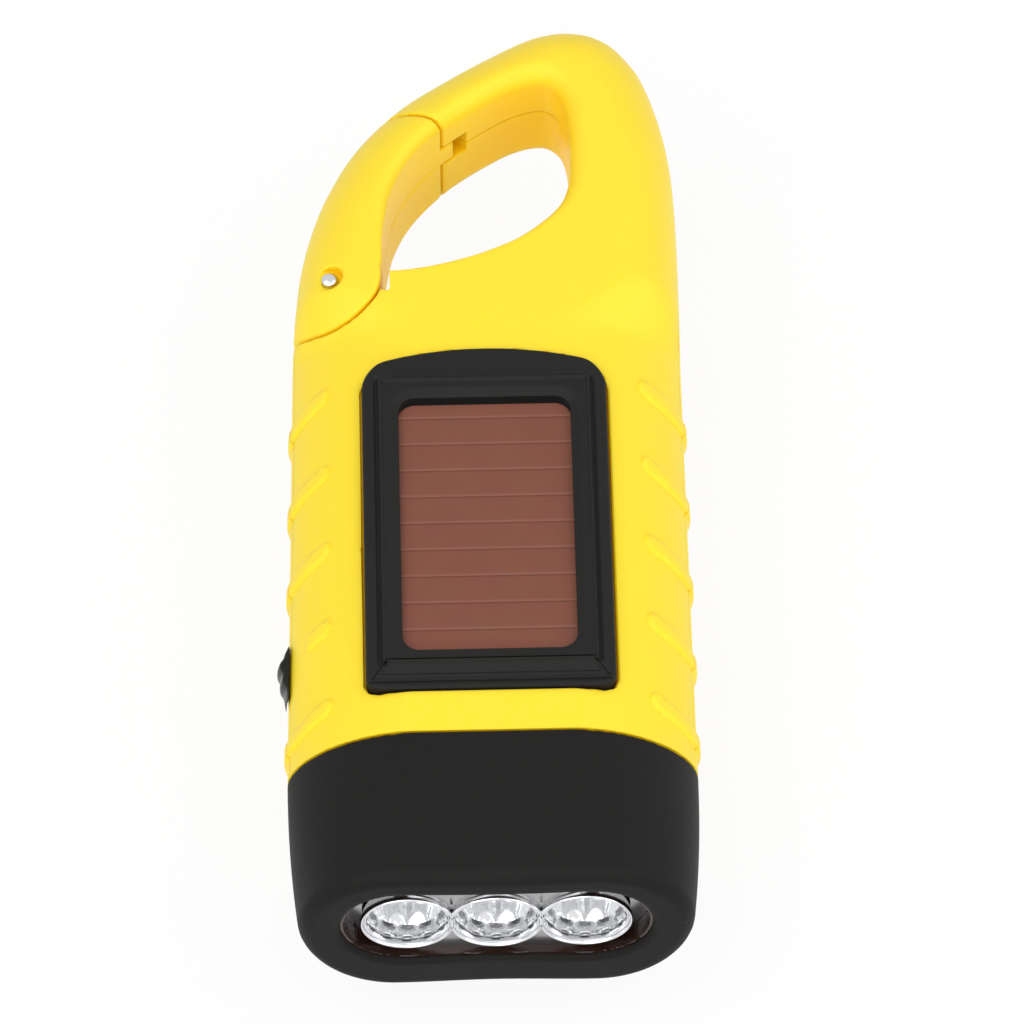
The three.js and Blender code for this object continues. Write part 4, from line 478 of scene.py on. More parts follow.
def front_height(x, y):
    """Height of the front face at one place in plan."""
    wide, edge, power = front_section(ring_share(y))
    inset = -outline_plan(np.array(x), np.array(y))
    return float(wide + (FRONT_Z - wide) * (1 - max(1 - inset / edge, 0) ** power) ** (1 / power))


PIN_FACE_Z = front_height(*PIVOT)
pin_bore = cylinder(PIVOT, PIN_RADIUS + PIN_ROOM)


def pin_recess(x, y, z):
    return np.maximum(cylinder(PIVOT, PIN_RECESS)(x, y), PIN_FACE_Z - PIN_RECESS_DEPTH - z)


def lug(x, y, z, room=0.0, reach=GATE_BASE + LUG_ROOT, turns=LUG_ARC):
    """Round lug about the pin with its neck to the body, or with room round it the lug's slot."""
    round_part = cylinder(PIVOT, LUG_RADIUS + room)(x, y)
    neck = wedge(x, y, LUG_RADIUS / 2, reach, *turns)
    return np.maximum(np.minimum(round_part, neck), slab(z, LUG_BACK_Z - room, LUG_FRONT_Z + room))


def tongue(x, y, z, grow):
    """Tongue at the gate's nose, or its notch when grown."""
    reach = GATE_REACH + TONGUE_LENGTH + grow * NOTCH_DEEPER
    part = wedge(x, y, GATE_REACH - TONGUE_ROOT, reach, TONGUE_ARC[0], TONGUE_ARC[1] + grow * NOTCH_TURN)
    return np.maximum(part, slab(z, TONGUE_BACK_Z - grow, TONGUE_FRONT_Z + grow))


MOULD_LINE = 0.16
MOULD_LINE_WIDTH = 0.22
RING_PARTING_RISE = 1.3
NOSE_PARTING_RISE = 1.1
NOSE_X = -7.0
NOSE_FADE = 6.0


def parting(x, y):
    """Height of the parting line, which climbs a little along the carabiner and again at its nose."""
    nose = smooth((x - NOSE_X) / NOSE_FADE)
    return PARTING_Z + ring_share(y) * (RING_PARTING_RISE + NOSE_PARTING_RISE * nose)


def mould_line(x, y, z):
    """Shallow groove where the two halves of a mould met."""
    return MOULD_LINE * np.exp(-(((z - parting(x, y)) / MOULD_LINE_WIDTH) ** 2))


# Roundings of the edges.
TIGHT = 0.05
SLOT_ROUND = 0.1
LIP_ROUND = 0.12
TONGUE_ROUND = 0.2
BORE_ROUND = 0.2
NOTCH_ROUND = 0.25
BASE_ROUND = 0.25
WELL_ROUND = 0.25
RECESS_ROUND = 0.3
SEAT_ROUND = 0.35
SLIT_ROUND = 0.35


def gate_field(x, y, z):
    solid = blank(x, y, z)
    arm = meet(solid + mould_line(x, y, z), gate_plan(x, y) + GAP / 2, SEAM_ROUND)
    part = join(arm, meet(solid + TIGHT, tongue(x, y, z, 0.0), TONGUE_ROUND), TIGHT)
    slot = lug(x, y, z, SLOT_ROOM, GATE_BASE + GATE_SLIT + GAP, SLOT_ARC)
    part = less(part, np.maximum(slot, envelope(x, y, z) + SLOT_COVER), SLOT_ROUND)
    part = less(part, pin_bore(x, y), TIGHT)
    return less(part, pin_recess(x, y, z), RECESS_ROUND)


def slit(x, y):
    """Slit between the gate's foot and the hole's corner."""
    sx = PIVOT[0] + GATE_BASE + GATE_SLIT / 2
    low, high = PIVOT[1] - GATE_BASE / 3, PIVOT[1] + GATE_BASE / 2
    past = np.maximum(np.maximum(low - y, y - high), 0)
    return np.hypot(x - sx, past) - (GATE_SLIT + GAP) / 2


def shells_field(x, y, z):
    part = meet(blank(x, y, z), -gate_plan(x, y) + GAP / 2, SEAM_ROUND)
    part = less(part, slit(x, y), SLIT_ROUND)
    part = less(part, tongue(x, y, z, GAP), NOTCH_ROUND)
    part = np.minimum(part, np.maximum(lug(x, y, z), envelope(x, y, z) + LUG_COVER))
    part = less(part, pin_bore(x, y), TIGHT)
    return meet(part, SEAM_Y - y, BASE_ROUND)


# Solar bezel outline.
BEZEL_HALF_WIDTH = 15.65
BEZEL_LOW_Y = SEAM_Y + 6.1
BEZEL_TOP_Y = BEZEL_LOW_Y + 51.2
CROWN_RADIUS = 48.0
BEZEL_SHOULDER = 4.4
BEZEL_LOWER = 1.8
BEZEL_SEAT_Z = 33.7
SEAT_ROOM = 0.25


def bezel_outline(inset=0.0, steps=12):
    """Rounded lower corners, shoulders and a crown, all drawn in by a length."""
    half = BEZEL_HALF_WIDTH - inset
    low = BEZEL_LOW_Y + inset
    lower = max(BEZEL_LOWER - inset / 2, BEZEL_LOWER / 3)
    across = BEZEL_HALF_WIDTH - BEZEL_SHOULDER
    up = math.sqrt((CROWN_RADIUS - BEZEL_SHOULDER) ** 2 - across**2)
    turn = math.degrees(math.atan2(up, across))
    crown = (0.0, BEZEL_TOP_Y - CROWN_RADIUS)
    return (
        arc((half - lower, low + lower), lower, 270, 360, steps)
        + arc((across, crown[1] + up), BEZEL_SHOULDER - inset, 0, turn, steps)
        + arc(crown, CROWN_RADIUS - inset, turn, 180 - turn, steps * 3)[1:-1]
        + arc((-across, crown[1] + up), BEZEL_SHOULDER - inset, 180 - turn, 180, steps)
        + arc((lower - half, low + lower), lower, 180, 270, steps)
    )


bezel_plan = Plan(bezel_outline(), PLAN_LOW, PLAN_HIGH)
seat_plan = Plan(bezel_outline(-SEAT_ROOM), PLAN_LOW, PLAN_HIGH)


def front_field(x, y, z):
    part = meet(shells_field(x, y, z), parting(x, y) + SEAM_GAP / 2 - z, LIP_ROUND)
    part = less(part, np.maximum(seat_plan(x, y), BEZEL_SEAT_Z - z), SEAT_ROUND)
    return less(part, pin_recess(x, y, z), RECESS_ROUND)


# Crank on the back.
CAVITY_Y = SEAM_Y + 59.3
HUB = (0.0, CAVITY_Y - 19.2)
HUB_RADIUS = 7.2
ARM_TIP_RADIUS = 6.4
ARM_LENGTH = 35.0
ARM_TOP_Z = 8.8
CRANK_BOSS_Z = 9.4
CRANK_BOSS_RADIUS = 10.0
CRANK_BOSS_ROOT = 2.0
CRANK_BOSS_EDGE = 0.4
CRANK_BOSS_FILLET = 0.5
AXLE_RADIUS = 3.0
AXLE_ROOM = 0.35
AXLE_BORE_DEPTH = 3.0
HINGE = (0.0, HUB[1] - ARM_LENGTH)
KNOB_RADIUS = 3.4
KNOB_Z = 3.9
KNOB_START = 5.2
KNOB_LENGTH = 17.0
KNOB_CAP = 1.4
KNOB_ROUND = 0.8
KNOB_FLUTES = 8
FLUTE_DEPTH = 0.34
FLUTE_FADE = 0.8
ARM_EDGE = 0.9
SLOT_HALF = 3.75
SLOT_LOW_Y = HINGE[1] - SLOT_HALF
SLOT_HIGH_Y = HUB[1] - 10.7
SLOT_CORNER = 1.5
SLOT_EDGE = 0.35
SLOT_TOP_Z = 7.7
DISH_RADIUS = 3.4
DISH_TOP_Z = 1.4
DISH_EDGE = 0.3

SCREW_SEAT_Z = 16.0
SCREW_HEAD_RADIUS = 2.3
SCREW_PLACES = [
    (-20.5, SEAM_Y + 5.2), (20.5, SEAM_Y + 5.2), (-19.6, CAVITY_Y - 5.2), (19.6, CAVITY_Y - 5.2),
]


def rear_field(x, y, z):
    part = meet(shells_field(x, y, z), z - parting(x, y) + SEAM_GAP / 2, LIP_ROUND)
    boss_ends = np.maximum(CRANK_BOSS_Z - z, z - BACK_Z - CRANK_BOSS_ROOT)
    boss = meet(cylinder(HUB, CRANK_BOSS_RADIUS)(x, y), boss_ends, CRANK_BOSS_EDGE)
    part = join(part, boss, CRANK_BOSS_FILLET)
    bore = np.maximum(cylinder(HUB, AXLE_RADIUS + AXLE_ROOM)(x, y), z - BACK_Z - AXLE_BORE_DEPTH)
    part = less(part, bore, BORE_ROUND)
    for place in SCREW_PLACES:
        well = np.maximum(cylinder(place, SCREW_HEAD_RADIUS + GAP)(x, y), z - SCREW_SEAT_Z)
        part = less(part, well, WELL_ROUND)
    return part


# Head: black bezel round the lens opening.
HEAD_EDGE = 12.0
HEAD_TAPER = 1.3
HEAD_TAPER_POWER = 2.2
HEAD_WAIST = 0.4
WAIST_HALF = 12.0
HEAD_DROP = 1.1
HEAD_ROUND = 1.8
HEAD_SEAM_ROUND = 0.3
HEAD_WALL = 2.2
FACE_Y = HEAD_Y + 2.6
OPENING_HALF_WIDTH = 19.4
OPENING_LOW_Z = 16.2
OPENING_HIGH_Z = 31.9
OPENING_RADIUS = (OPENING_HIGH_Z - OPENING_LOW_Z) / 2
OPENING_Z = (OPENING_HIGH_Z + OPENING_LOW_Z) / 2
OPENING_REACH = OPENING_HALF_WIDTH - OPENING_RADIUS
OPENING_WAIST = 0.35
OPENING_ROUND = 0.8
LENS_PITCH = 11.1
LENS_Z = 23.6
RIM_Y = HEAD_Y + 1.0


def head_body(x, y, z, shrink):
    """Head as a solid that tapers and waists towards its face, with its skin drawn in by a length."""
    t = np.clip((SEAM_Y - y) / HEAD_LENGTH, 0, 1)
    half = HALF_WIDTH - HEAD_TAPER * t**HEAD_TAPER_POWER - shrink
    dip = HEAD_WAIST * t * smooth(np.maximum(0, 1 - np.abs(x) / WAIST_HALF))
    return rounded_slab(
        half - np.abs(x), z, WIDE_Z,
        FRONT_Z - WIDE_Z - shrink - dip, WIDE_Z - BACK_Z + HEAD_DROP * t - shrink - dip,
        mix(FRONT_EDGE, HEAD_EDGE, t) - shrink, mix(BACK_EDGE, HEAD_EDGE, t) - shrink,
        mix(FRONT_POWER, ELLIPSE, t),
    )


def opening(x, z):
    """Waisted opening across the head's face."""
    past = np.maximum(np.abs(x) - OPENING_REACH, 0)
    waist = OPENING_WAIST * smooth(1 - np.abs(x) / OPENING_REACH)
    return np.hypot(past, np.maximum(np.abs(z - OPENING_Z) + waist, 1e-3)) - OPENING_RADIUS


def head_field(x, y, z):
    outer = meet(head_body(x, y, z, 0.0), HEAD_Y - y, HEAD_ROUND)
    outer = meet(outer, y - SEAM_Y + GAP, HEAD_SEAM_ROUND)
    inner = np.maximum(head_body(x, y, z, HEAD_WALL), FACE_Y - y)
    return less(np.maximum(outer, -inner), opening(x, z), OPENING_ROUND)


def round_box(u, v, half_u, half_v, radius):
    qu, qv = np.abs(u) - (half_u - radius), np.abs(v) - (half_v - radius)
    return np.hypot(np.maximum(qu, 0), np.maximum(qv, 0)) + np.minimum(np.maximum(qu, qv), 0) - radius


# Solar bezel: seated rim, raised frame, sloping foot and bevelled window.
FRAME_HALF = 13.3
FRAME_TOP_Y = BEZEL_TOP_Y - 5.1
FOOT_HIGH_Y = BEZEL_LOW_Y + 3.45
FOOT_LOW_Y = BEZEL_LOW_Y + 1.7
FOOT_START = 12.9
FOOT_FLARE = 0.74
FOOT_LAG = 0.3
BEZEL_FRONT_Z = 37.1
BEZEL_EDGE = 0.45
BORDER_Z = 36.65
BORDER_STEP = 0.4
BORDER_FALL = 0.45
BORDER_FALL_WIDTH = 2.4
FOOT_Z = 36.25
WINDOW_HALF = 11.0
WINDOW_LOW_Y = BEZEL_LOW_Y + 5.5
WINDOW_HIGH_Y = BEZEL_TOP_Y - 7.6
WINDOW_RADIUS = 2.2
WINDOW_EASE = 1.3
WINDOW_DIP = 0.55
WINDOW_EDGE = 0.2
CREST = 0.26
CREST_WIDTH = 0.25
CREST_GROOVE = 0.22
GROOVE_PLACE = 2.2
CREST_OVERLAP = 0.5


def crest(distance):
    """Fine raised line along an edge of the moulding, with a groove outside it."""
    line = CREST * np.exp(-((distance / CREST_WIDTH) ** 2))
    return line - CREST_GROOVE * np.exp(-((distance / CREST_WIDTH - GROOVE_PLACE) ** 2))


def window(x, y):
    middle, half = (WINDOW_LOW_Y + WINDOW_HIGH_Y) / 2, (WINDOW_HIGH_Y - WINDOW_LOW_Y) / 2
    return round_box(x, y - middle, WINDOW_HALF, half, WINDOW_RADIUS)


def bezel_height(x, y):
    """Height of the bezel's front: border, raised frame, sloping foot and dip at the window."""
    side = np.abs(x)
    outside = np.maximum(side - FRAME_HALF, y - FRAME_TOP_Y)
    border = BORDER_Z - BORDER_FALL * smooth((side - FRAME_HALF) / BORDER_FALL_WIDTH)
    frame_top = mix(BEZEL_FRONT_Z, border, smooth(outside / BORDER_STEP)) + crest(outside)
    down = (FOOT_HIGH_Y - y) / (FOOT_HIGH_Y - FOOT_LOW_Y)
    across = side - FOOT_START - FOOT_FLARE * (FOOT_HIGH_Y - y)
    face = mix(BEZEL_FRONT_Z, FOOT_Z, np.clip(down, 0, 1))
    beside = mix(border, FOOT_Z, smooth(down - FOOT_LAG))
    edge = np.maximum(np.maximum(across, y - FOOT_HIGH_Y), FOOT_LOW_Y - y)
    foot = np.where(across < 0, face, beside)
    top = np.where(y < FOOT_HIGH_Y, foot, frame_top)
    top = top + np.where(y < FOOT_HIGH_Y + CREST_OVERLAP, crest(edge), 0.0)
    return top - WINDOW_DIP * smooth(1 - window(x, y) / WINDOW_EASE)


def bezel_field(x, y, z):
    part = meet(bezel_plan(x, y), z - bezel_height(x, y), BEZEL_EDGE)
    part = np.maximum(part, BEZEL_SEAT_Z + GAP - z)
    return less(part, window(x, y), WINDOW_EDGE)


# Switch cap on the left side, a hump with finger ridges.
CAP_Y = SWITCH_Y + 0.75
CAP_Z = PARTING_Z - 1.2
CAP_LENGTH = 8.8
CAP_HEIGHT = 3.6
CAP_CORNER = 1.2
CAP_EDGE = 0.3
CAP_SKIN_EDGE = 0.12
CAP_FLOOR = 0.25
CAP_INWARD = 3.5
CAP_LOW = 0.35
CAP_PROUD = 1.0
CAP_PEAK_SHARE = 0.62
RIDGE_RISE = 0.13
RIDGE_SPAN = 0.8 / 3
RIDGE_ONSET = 1.5


def cap_rise(y):
    t = (y - CAP_Y) / CAP_LENGTH + 0.5
    hump = np.where(t < CAP_PEAK_SHARE, smooth(t / CAP_PEAK_SHARE), smooth((1 - t) / (1 - CAP_PEAK_SHARE)))
    ridge = RIDGE_RISE * np.cos((t - CAP_PEAK_SHARE) * 2 * math.pi / RIDGE_SPAN)
    return CAP_LOW + CAP_PROUD * hump + ridge * smooth(hump * RIDGE_ONSET)


def cap_field(x, y, z):
    body = envelope(x, y, z)
    part = meet(body - cap_rise(y), CAP_FLOOR - body, CAP_SKIN_EDGE)
    zone = round_box(y - CAP_Y, z - CAP_Z, CAP_LENGTH / 2, CAP_HEIGHT / 2, CAP_CORNER)
    return np.maximum(meet(part, zone, CAP_EDGE), x + HALF_WIDTH - CAP_INWARD)


def crank_field(x, y, z):
    """Folding crank: hub, tapered arm and the slot that the knob lies in."""
    t = np.clip((HUB[1] - y) / ARM_LENGTH, 0, 1)
    radius = mix(HUB_RADIUS, ARM_TIP_RADIUS, t)
    plan = np.hypot(x, y - (HUB[1] - t * ARM_LENGTH)) - radius
    part = meet(plan, slab(z, 0.0, ARM_TOP_Z), ARM_EDGE)
    middle, half = (SLOT_LOW_Y + SLOT_HIGH_Y) / 2, (SLOT_HIGH_Y - SLOT_LOW_Y) / 2
    slot = np.maximum(round_box(x, y - middle, SLOT_HALF, half, SLOT_CORNER), z - SLOT_TOP_Z)
    part = less(part, slot, SLOT_EDGE)
    dish = np.maximum(cylinder(HUB, DISH_RADIUS)(x, y), z - DISH_TOP_Z)
    return less(part, dish, DISH_EDGE)


def knob_field(x, y, z):
    """Round grip with flutes between its two plain ends."""
    radius = np.hypot(x, z - KNOB_Z)
    turn = np.arctan2(z - KNOB_Z, x)
    flute = FLUTE_DEPTH * (0.5 + 0.5 * np.cos(turn * KNOB_FLUTES)) ** 3
    low, high = HINGE[1] + KNOB_START, HINGE[1] + KNOB_START + KNOB_LENGTH
    ends = smooth((np.minimum(y - low, high - y) - KNOB_CAP) / FLUTE_FADE)
    return meet(radius - KNOB_RADIUS + flute * ends, np.maximum(low - y, y - high), KNOB_ROUND)


# Materials.
def principled(name, srgb, roughness, **more):
    material = bpy.data.materials.new(name)
    material.use_nodes = True
    shader = material.node_tree.nodes["Principled BSDF"]
    shader.inputs["Base Color"].default_value = (*linear(*srgb), 1.0)
    shader.inputs["Roughness"].default_value = roughness
    for key, value in more.items():
        shader.inputs[key.replace("_", " ")].default_value = value
    return material


def linear(*srgb):
    return tuple(((c / 255 + 0.055) / 1.055) ** 2.4 if c > 10 else c / 255 / 12.92 for c in srgb)


def add_node(nodes, kind, inputs=(), **settings):
    """Shader node with its settings and then the values of its inputs."""
    made = nodes.new("ShaderNode" + kind)
    for key, value in settings.items():
        setattr(made, key, value)
    for key, value in dict(inputs).items():
        made.inputs[key].default_value = value
    return made


def wire(links, *ways):
    """Links from an output of one node to an input of another."""
    for start, output, end, entry in ways:
        links.new(start.outputs[output], end.inputs[entry])


MOTTLE_SCALE = 90.0


def finished(name, srgb, roughness, grain, depth, spread=0.05, mottle=0.03, dark=0.85, **more):
    """Material with moulded grain, uneven gloss and slight colour variation, all from noise."""
    material = principled(name, srgb, roughness, **more)
    nodes, links = material.node_tree.nodes, material.node_tree.links
    shader = nodes["Principled BSDF"]
    base = shader.inputs["Base Color"].default_value[:3]
    darker = tuple(c * dark for c in base)
    place = add_node(nodes, "TexCoord")
    fine = add_node(nodes, "TexNoise", {"Scale": grain, "Detail": 3.0})
    bump = add_node(nodes, "Bump", {"Strength": 1.0, "Distance": depth * MM})
    broad = add_node(nodes, "TexNoise", {"Scale": MOTTLE_SCALE, "Detail": 4.0})
    gloss = add_node(nodes, "MapRange", {"To Min": roughness - spread, "To Max": roughness + spread})
    amount = add_node(nodes, "Math", {1: mottle * 2}, operation="MULTIPLY")
    shade = add_node(nodes, "Mix", {"A": (*base, 1.0), "B": (*darker, 1.0)}, data_type="RGBA")
    wire(
        links,
        (place, "Object", fine, "Vector"), (place, "Object", broad, "Vector"),
        (fine, "Fac", bump, "Height"), (bump, "Normal", shader, "Normal"),
        (broad, "Fac", gloss, "Value"), (gloss, "Result", shader, "Roughness"),
        (broad, "Fac", amount, 0), (amount, "Value", shade, "Factor"),
        (shade, "Result", shader, "Base Color"),
    )
    return material


def paint_recess_shade(material, srgb, reach):
    """Painted shade: the base colour turns a deeper orange in recesses, read from ambient occlusion, in place
    of light bounced between the yellow walls.
    """
    nodes, links = material.node_tree.nodes, material.node_tree.links
    shader = nodes["Principled BSDF"]
    before = shader.inputs["Base Color"].links[0].from_socket
    open_share = add_node(nodes, "AmbientOcclusion", {"Distance": reach * MM}, samples=6)
    turn = add_node(nodes, "MapRange", {"From Min": 0.35, "From Max": 0.9})
    shade = add_node(nodes, "Mix", {"A": (*linear(*srgb), 1.0)}, data_type="RGBA")
    links.new(before, shade.inputs["B"])
    wire(
        links, (open_share, "AO", turn, "Value"), (turn, "Result", shade, "Factor"),
        (shade, "Result", shader, "Base Color"),
    )


# Name, colour, roughness, grain scale and depth, then spread of gloss, mottle and its darkness.
yellow = finished(
    "yellow_plastic", (254, 221, 56), 0.42, 900.0, 0.006, Specular_IOR_Level=0.2,
    Subsurface_Weight=0.3, Subsurface_Radius=(1.0, 0.55, 0.08), Subsurface_Scale=0.003,
)
# Painted shade: the yellow plastic turns deep orange in its recesses.
paint_recess_shade(yellow, (255, 206, 4), 16.0)
head_black = finished("head_plastic", (26, 25, 24), 0.56, 2600.0, 0.08, 0.07, 0.2, Specular_IOR_Level=0.1)
bezel_black = finished("bezel_plastic", (27, 27, 26), 0.5, 2200.0, 0.08, 0.06, 0.2, Specular_IOR_Level=0.14)
cap_black = finished("cap_plastic", (22, 20, 18), 0.28, 1500.0, 0.006, 0.04, Specular_IOR_Level=0.2)
crank_black = finished(
    "crank_plastic", (32, 31, 30), 0.45, 2200.0, 0.03, 0.06, 0.2, Specular_IOR_Level=0.35,
)
steel = finished("bright_steel", (205, 206, 208), 0.22, 3000.0, 0.008, Metallic=1.0)
chrome = finished("plated_chrome", (226, 227, 229), 0.13, 700.0, 0.003, 0.03, Metallic=1.0)
plate_grey = finished("plated_grey", (168, 167, 168), 0.2, 500.0, 0.01, Metallic=1.0)
lens_clear = finished(
    "lens_plastic", (255, 255, 255), 0.06, 500.0, 0.002, 0.02, 0.0, Transmission_Weight=1.0, IOR=1.22,
)
led_clear = finished(
    "led_epoxy", (240, 243, 250), 0.12, 800.0, 0.004, 0.04, Transmission_Weight=0.75, IOR=1.5,
)
board_green = finished("circuit_board", (43, 107, 61), 0.45, 1200.0, 0.02)
gear_white = finished("gear_plastic", (232, 231, 222), 0.4, 1200.0, 0.01)
magnet_grey = finished("sintered_magnet", (74, 74, 77), 0.4, 2600.0, 0.03, Metallic=0.8)
yoke_steel = finished("yoke_laminate", (140, 142, 145), 0.4, 2600.0, 0.03, Metallic=1.0)
copper = finished("enamelled_copper", (181, 107, 61), 0.3, 1600.0, 0.03, Metallic=0.9)
cell_sleeve = finished("cell_sleeve", (64, 143, 107), 0.35, 1200.0, 0.01)
# Painted reflection: a brown tint on the opening's glossy black wall stands in for its reddish reflections.
liner_painted_reflection = finished(
    "liner_gloss_painted_reflection", (50, 30, 22), 0.16, 400.0, 0.004, 0.05, 0.4, 0.3, Specular_IOR_Level=0.6,
)
sheet_black = finished("sheet_border", (22, 20, 20), 0.2, 900.0, 0.003, Coat_Weight=0.5, Coat_Roughness=0.08)

CELL_LINE_Y = 1.85
CELL_LINE_PITCH = 4.0
CELL_STOPS = [
    (0.0, (132, 86, 72)), (0.06, (130, 84, 70)), (0.11, (121, 74, 59)),
    (0.93, (120, 73, 58)), (0.96, (102, 60, 49)), (1.0, (106, 63, 52)),
]
CELL_GRAIN = 0.12


def solar_material():
    """Brown cell with a light line and a dark edge where its stripes meet."""
    material = principled(
        "solar_cell_brown", (126, 77, 63), 0.4, Coat_Weight=0.08, Coat_Roughness=0.1, Specular_IOR_Level=0.15,
    )
    nodes, links = material.node_tree.nodes, material.node_tree.links
    place = add_node(nodes, "TexCoord")
    apart = add_node(nodes, "SeparateXYZ")
    lines = {1: 1 / (CELL_LINE_PITCH * MM), 2: 20 - CELL_LINE_Y / CELL_LINE_PITCH}
    stripes = add_node(nodes, "Math", lines, operation="MULTIPLY_ADD")
    phase = add_node(nodes, "Math", operation="FRACT")
    ramp = add_node(nodes, "ValToRGB")
    while len(ramp.color_ramp.elements) < len(CELL_STOPS):
        ramp.color_ramp.elements.new(0.5)
    for element, (at, srgb) in zip(ramp.color_ramp.elements, CELL_STOPS):
        element.position = at
        element.color = (*linear(*srgb), 1.0)
    grain = add_node(nodes, "TexNoise", {"Scale": 260.0, "Detail": 4.0})
    tint = add_node(nodes, "Mix", {"Factor": CELL_GRAIN}, data_type="RGBA", blend_type="SOFT_LIGHT")
    wire(
        links,
        (place, "Object", apart, 0), (place, "Object", grain, "Vector"), (apart, "Y", stripes, 0),
        (stripes, "Value", phase, 0), (phase, "Value", ramp, "Fac"), (ramp, "Color", tint, "A"),
        (grain, "Color", tint, "B"), (tint, "Result", nodes["Principled BSDF"], "Base Color"),
    )
    return material


solar_brown = solar_material()

# Pieces.
COARSE = 0.45
GATE_STEP = 0.35
BEZEL_STEP = 0.2
CAP_STEP = 0.16
CRANK_STEP = 0.4
KNOB_STEP = 0.22
PLATE_STEP = 0.2
LINER_STEP = 0.3
SIDE = HALF_WIDTH + 1.2
PARTING_HIGH = PARTING_Z + RING_PARTING_RISE + NOSE_PARTING_RISE


def make_shells():
    carved(
        "front_shell_skin", front_field, (-SIDE, SEAM_Y, PARTING_Z), (SIDE, TIP_Y, FRONT_Z), COARSE,
        "housing", "yellow_shell", yellow, "front_shell",
    )
    carved(
        "rear_shell_skin", rear_field, (-SIDE, SEAM_Y, CRANK_BOSS_Z), (SIDE, TIP_Y, PARTING_HIGH), COARSE,
        "housing", "yellow_shell", yellow, "rear_shell",
    )
    carved(
        "gate_skin", gate_field, (-26, PIVOT[1] - 13, RING_BACK_Z - 1), (8, TIP_Y - 4, FRONT_Z), GATE_STEP,
        "gate", "yellow_shell", yellow, "carabiner_gate",
    )


def make_head():
    carved(
        "head_skin", head_field, (-26, HEAD_Y, BACK_Z - HEAD_DROP), (26, SEAM_Y, FRONT_Z), COARSE,
        "housing", "black_head", head_black, "head_bezel",
    )


def lathe(profile, centre, steps=72, swell=None):
    """Points and faces of a piece turned about an axis along Y, from a closed profile of (radius, y)."""
    points, faces = [], []
    count = len(profile)
    for i in range(steps):
        turn = 2 * math.pi * i / steps
        for k, (radius, along) in enumerate(profile):
            r = radius if swell is None else radius * swell(k, turn)
            points.append((centre[0] + r * math.cos(turn), along, centre[1] + r * math.sin(turn)))
    for i in range(steps):
        j = (i + 1) % steps
        for k in range(count):
            m = (k + 1) % count
            if max(profile[k][0], profile[m][0]) >= 1e-6:
                faces.append((i * count + k, i * count + m, j * count + m, j * count + k))
    return points, faces


def dome(radius, top, height, turns):
    """Profile of a dome that falls from its top by a height, over turns counted from its axis."""
    return [(radius * math.sin(a), top + height * (1 - math.cos(a))) for a in turns]


def welded(name, points, faces, sharp=30.0):
    """Mesh with its doubled points merged and its faces turned outwards."""
    made = mesh_object(name, points, faces, 180.0)
    shape = bmesh.new()
    shape.from_mesh(made.data)
    bmesh.ops.remove_doubles(shape, verts=shape.verts, dist=1e-7)
    bmesh.ops.dissolve_degenerate(shape, edges=shape.edges, dist=1e-7)
    bmesh.ops.recalc_face_normals(shape, faces=shape.faces)
    shape.to_mesh(made.data)
    shape.free()
    smooth_shading(made.data, sharp)
    return made


def plate(name, outline, low, high, ease):
    """Slab of a plan outline with eased edges, between two heights."""
    pts = np.array(outline)
    along = np.roll(pts, -1, axis=0) - np.roll(pts, 1, axis=0)
    inward = np.stack([-along[:, 1], along[:, 0]], 1) / np.linalg.norm(along, axis=1)[:, None]
    points = []
    for inset, height in ((ease, low), (0, low + ease), (0, high - ease), (ease, high)):
        points += [(u, v, height) for u, v in pts + inward * inset]
    count = len(pts)
    faces = [tuple(range(count))[::-1], tuple(3 * count + i for i in range(count))]
    for row in (0, count, 2 * count):
        for i in range(count):
            j = (i + 1) % count
            faces.append((row + i, row + j, row + count + j, row + count + i))
    return welded(name, points, faces)


# Optics. Profiles are (radius, depth behind the rim's face), and for the LED (radius, y from its foot).
LENS_PLACES = {"left": -LENS_PITCH, "middle": 0.0, "right": LENS_PITCH}
CUP_RIM = [
    (5.86, 0.55), (5.86, 0.16), (5.74, 0.0), (5.58, 0.0), (5.48, 0.14), (5.44, 0.42), (5.3, 0.5),
    (5.26, 0.32), (5.16, 0.32), (5.12, 0.5),
]
CUP_BACK = [(3.2, 10.0), (3.6, 8.0), (4.6, 5.0), (5.4, 2.2), (5.7, 0.9)]
BOWL_DEPTHS = [1.0, 2.2, 3.6, 5.2, 7.0, 9.0, 10.0]
BOWL_RADII = [5.12, 4.85, 4.45, 3.95, 3.4, 2.9, 2.75]
BOWL_STEP = 0.36
PETALS = 6
PETAL_LENGTH = 2.15
PETAL_DEPTH = 0.085
PETAL_POWER = 0.7
LENS_RADIUS = 5.22
LENS_TOP = 0.05
LENS_RISE = 1.0
LENS_BACK = [(LENS_RADIUS, 1.3), (5.0, 1.5), (0.0, 1.3)]
LED_FOOT_Y = HEAD_Y + 12.7
LED_RADIUS = 2.1
LED_HEIGHT = 6.0
LED_FLANGE = [(LED_RADIUS, -0.9), (2.5, -0.8), (2.5, 0.0), (0.0, 0.0)]


def turned(name, profile, start_y, x, steps, sharp=30.0, swell=None):
    """Piece turned about the axis of a lens."""
    return welded(name, *lathe([(r, start_y + a) for r, a in profile], (x, LENS_Z), steps, swell), sharp)


